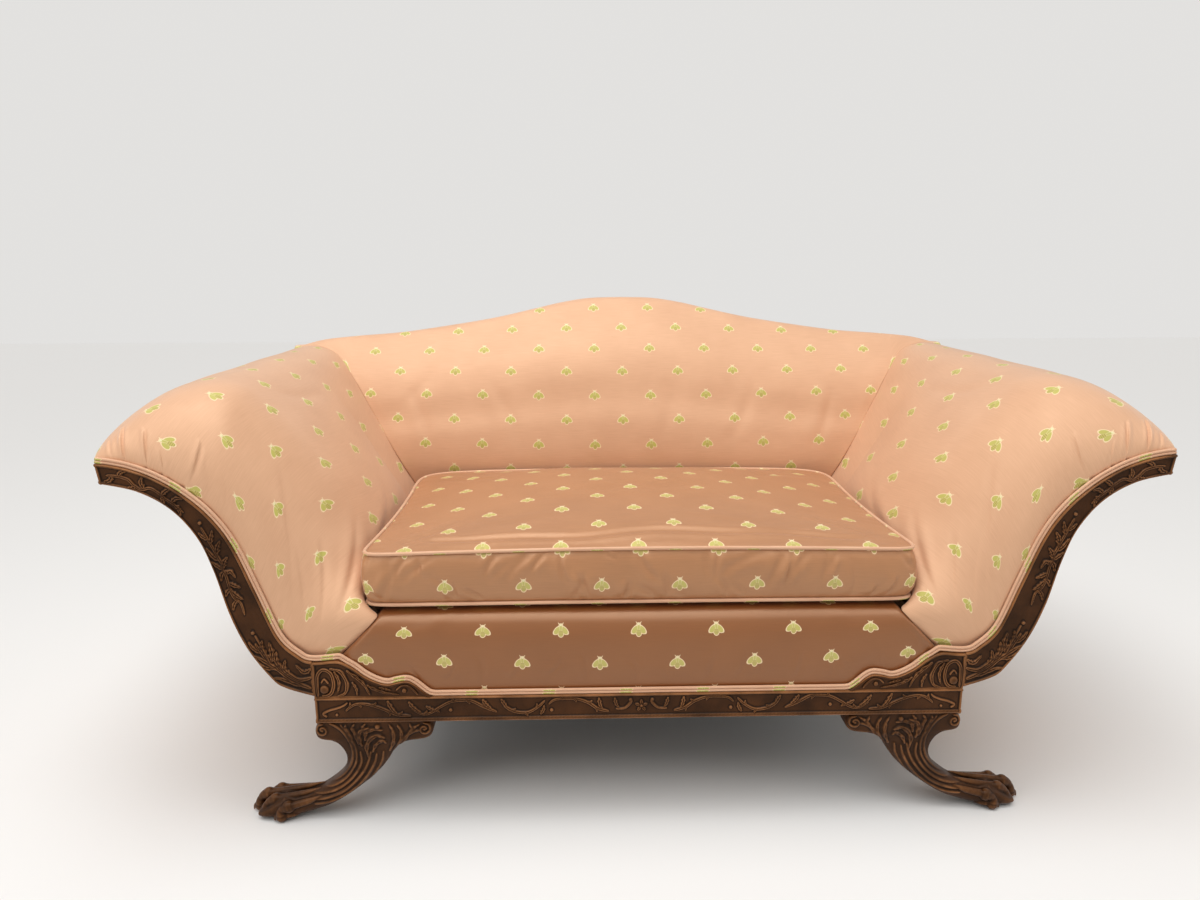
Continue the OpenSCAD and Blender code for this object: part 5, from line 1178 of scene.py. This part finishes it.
# small gathers where the panel is sewn to its welt
seam_run = np.where(np.abs(ux) > np.abs(uy), mm_y, mm_x)
soft_top += 0.9 * np.sin(seam_run / 5.3 + 2 * np.sin(seam_run / 31)) * np.exp(-(1 - r) * 42) * (r < 0.999)
top_z += soft_top * smooth((1 - r) / 0.05) / 1000
top_grid = np.stack([x, y, top_z], -1)
under_grid = np.stack([x, y, lerp(bottom_z, bottom_seam, np.interp(r, [0.93, 0.985, 1], [0, 0.4, 1]))], -1)
skin, rim = grid_faces(nb + 1, na + 1)
rx, ry = ux.ravel()[rim], uy.ravel()[rim]
boxing_shares = curve([[0, 0], [0.55, 0.14], [0.95, 0.36], [1, 0.58], [0.7, 0.82], [0, 1]], nz)
rim_xy = np.stack(cushion_xy(rx, ry, 1, 0), -1)
rim_run = 1000 * run_along(rim_xy)
chance = np.random.default_rng(3)
starts = np.arange(12, rim_run[-1], 27)
slants = [(a, chance.choice((8, 84)), a + chance.normal(-16, 34), 46 + chance.normal(0, 14),
           5 + 6 * chance.random(), 1.6 + 1.8 * chance.random()) for a in starts + chance.normal(0, 6, len(starts))]


def puckers(q):
    """How far the boxing stands in or out at the height share q, in millimetres."""
    gather = np.sin(rim_run / 4.6 + 2.2 * np.sin(rim_run / 37)) * (np.exp(-9 * (1 - q)) + 0.7 * np.exp(-9 * q))
    loose = 1.8 * np.sin(rim_run / 41 + 4 * q) * np.sin(rim_run / 97 + 1) * np.sin(math.pi * q)
    return (0.8 * gather + loose + folds(rim_run, 92 * q, slants)) * np.clip(12 * q * (1 - q), 0, 1)


rows = []
for q in boxing_shares[1:-1]:
    swell = boxing_swell * q[0] + puckers(q[1]) / 1000
    x, y = cushion_xy(rx, ry, 1, swell)
    rows.append(np.stack([x, y, lerp(bottom_seam, top_seam_z(rx, ry), q[1])], -1))
points = np.concatenate([top_grid.reshape(-1, 3), under_grid.reshape(-1, 3), np.concatenate(rows)])
count = (na + 1) * (nb + 1)
levels = [rim + count] + [2 * count + k * len(rim) + np.arange(len(rim)) for k in range(nz - 1)] + [rim]
walls = [np.stack([lo, np.roll(lo, -1), np.roll(hi, -1), hi], -1) for lo, hi in zip(levels[:-1], levels[1:])]
faces = np.concatenate([skin, skin[:, ::-1] + count] + walls).tolist()
cushion = make_piece("box_cushion", points, faces, shaded_seat_satin, "bee_satin", body="cushion",
                     stands_for=["seat_cushion"], weave=points[:, :2])
corner = np.zeros(len(cushion.data.loops), int)
cushion.data.loops.foreach_get("vertex_index", corner)
where = points[corner]
faced = np.zeros(len(cushion.data.polygons) * 3)
cushion.data.polygons.foreach_get("normal", faced)
faced = np.repeat(faced.reshape(-1, 3), 4, axis=0)
flat_uv = np.stack([where[:, 0] + 0.004, (where[:, 1] + 0.397) * row_gap / 64.5], -1)
front_uv = np.stack([where[:, 0] + 0.001, where[:, 2] - 0.449 + row_gap / 1000], -1)
side_uv = np.stack([where[:, 1], where[:, 2] - 0.449 + row_gap / 1000], -1)
boxed = np.repeat(np.arange(len(faces)) >= 2 * len(skin), 4)
uv = np.where(boxed[:, None], np.where((np.abs(faced[:, 0]) > 0.7)[:, None], side_uv, front_uv), flat_uv)
cushion.data.uv_layers["weave"].data.foreach_set("uv", uv.ravel())

# Cushion welts: a thin cord in a strip of the satin, sewn into the top seam and the bottom seam
# of the cushion all round.
w = np.linspace(0, 2 * math.pi, 721)[:-1]
ux, uy, _ = outline_unit(np.cos(w), np.sin(w))
x, y = cushion_xy(ux, uy, 1, 0.0035)
for name, z in (("cushion_welt_top", top_seam_z(ux, uy)), ("cushion_welt_bottom", np.full_like(x, bottom_seam))):
    path = np.stack([x, y, z], -1)
    make_piece(name + "_cord", *tube(path, 0.0033, 12, closed=True), welt_satin, "welt_satin", body="cushion",
               stands_for=[name], weave=round_weave(path, 0.0017))
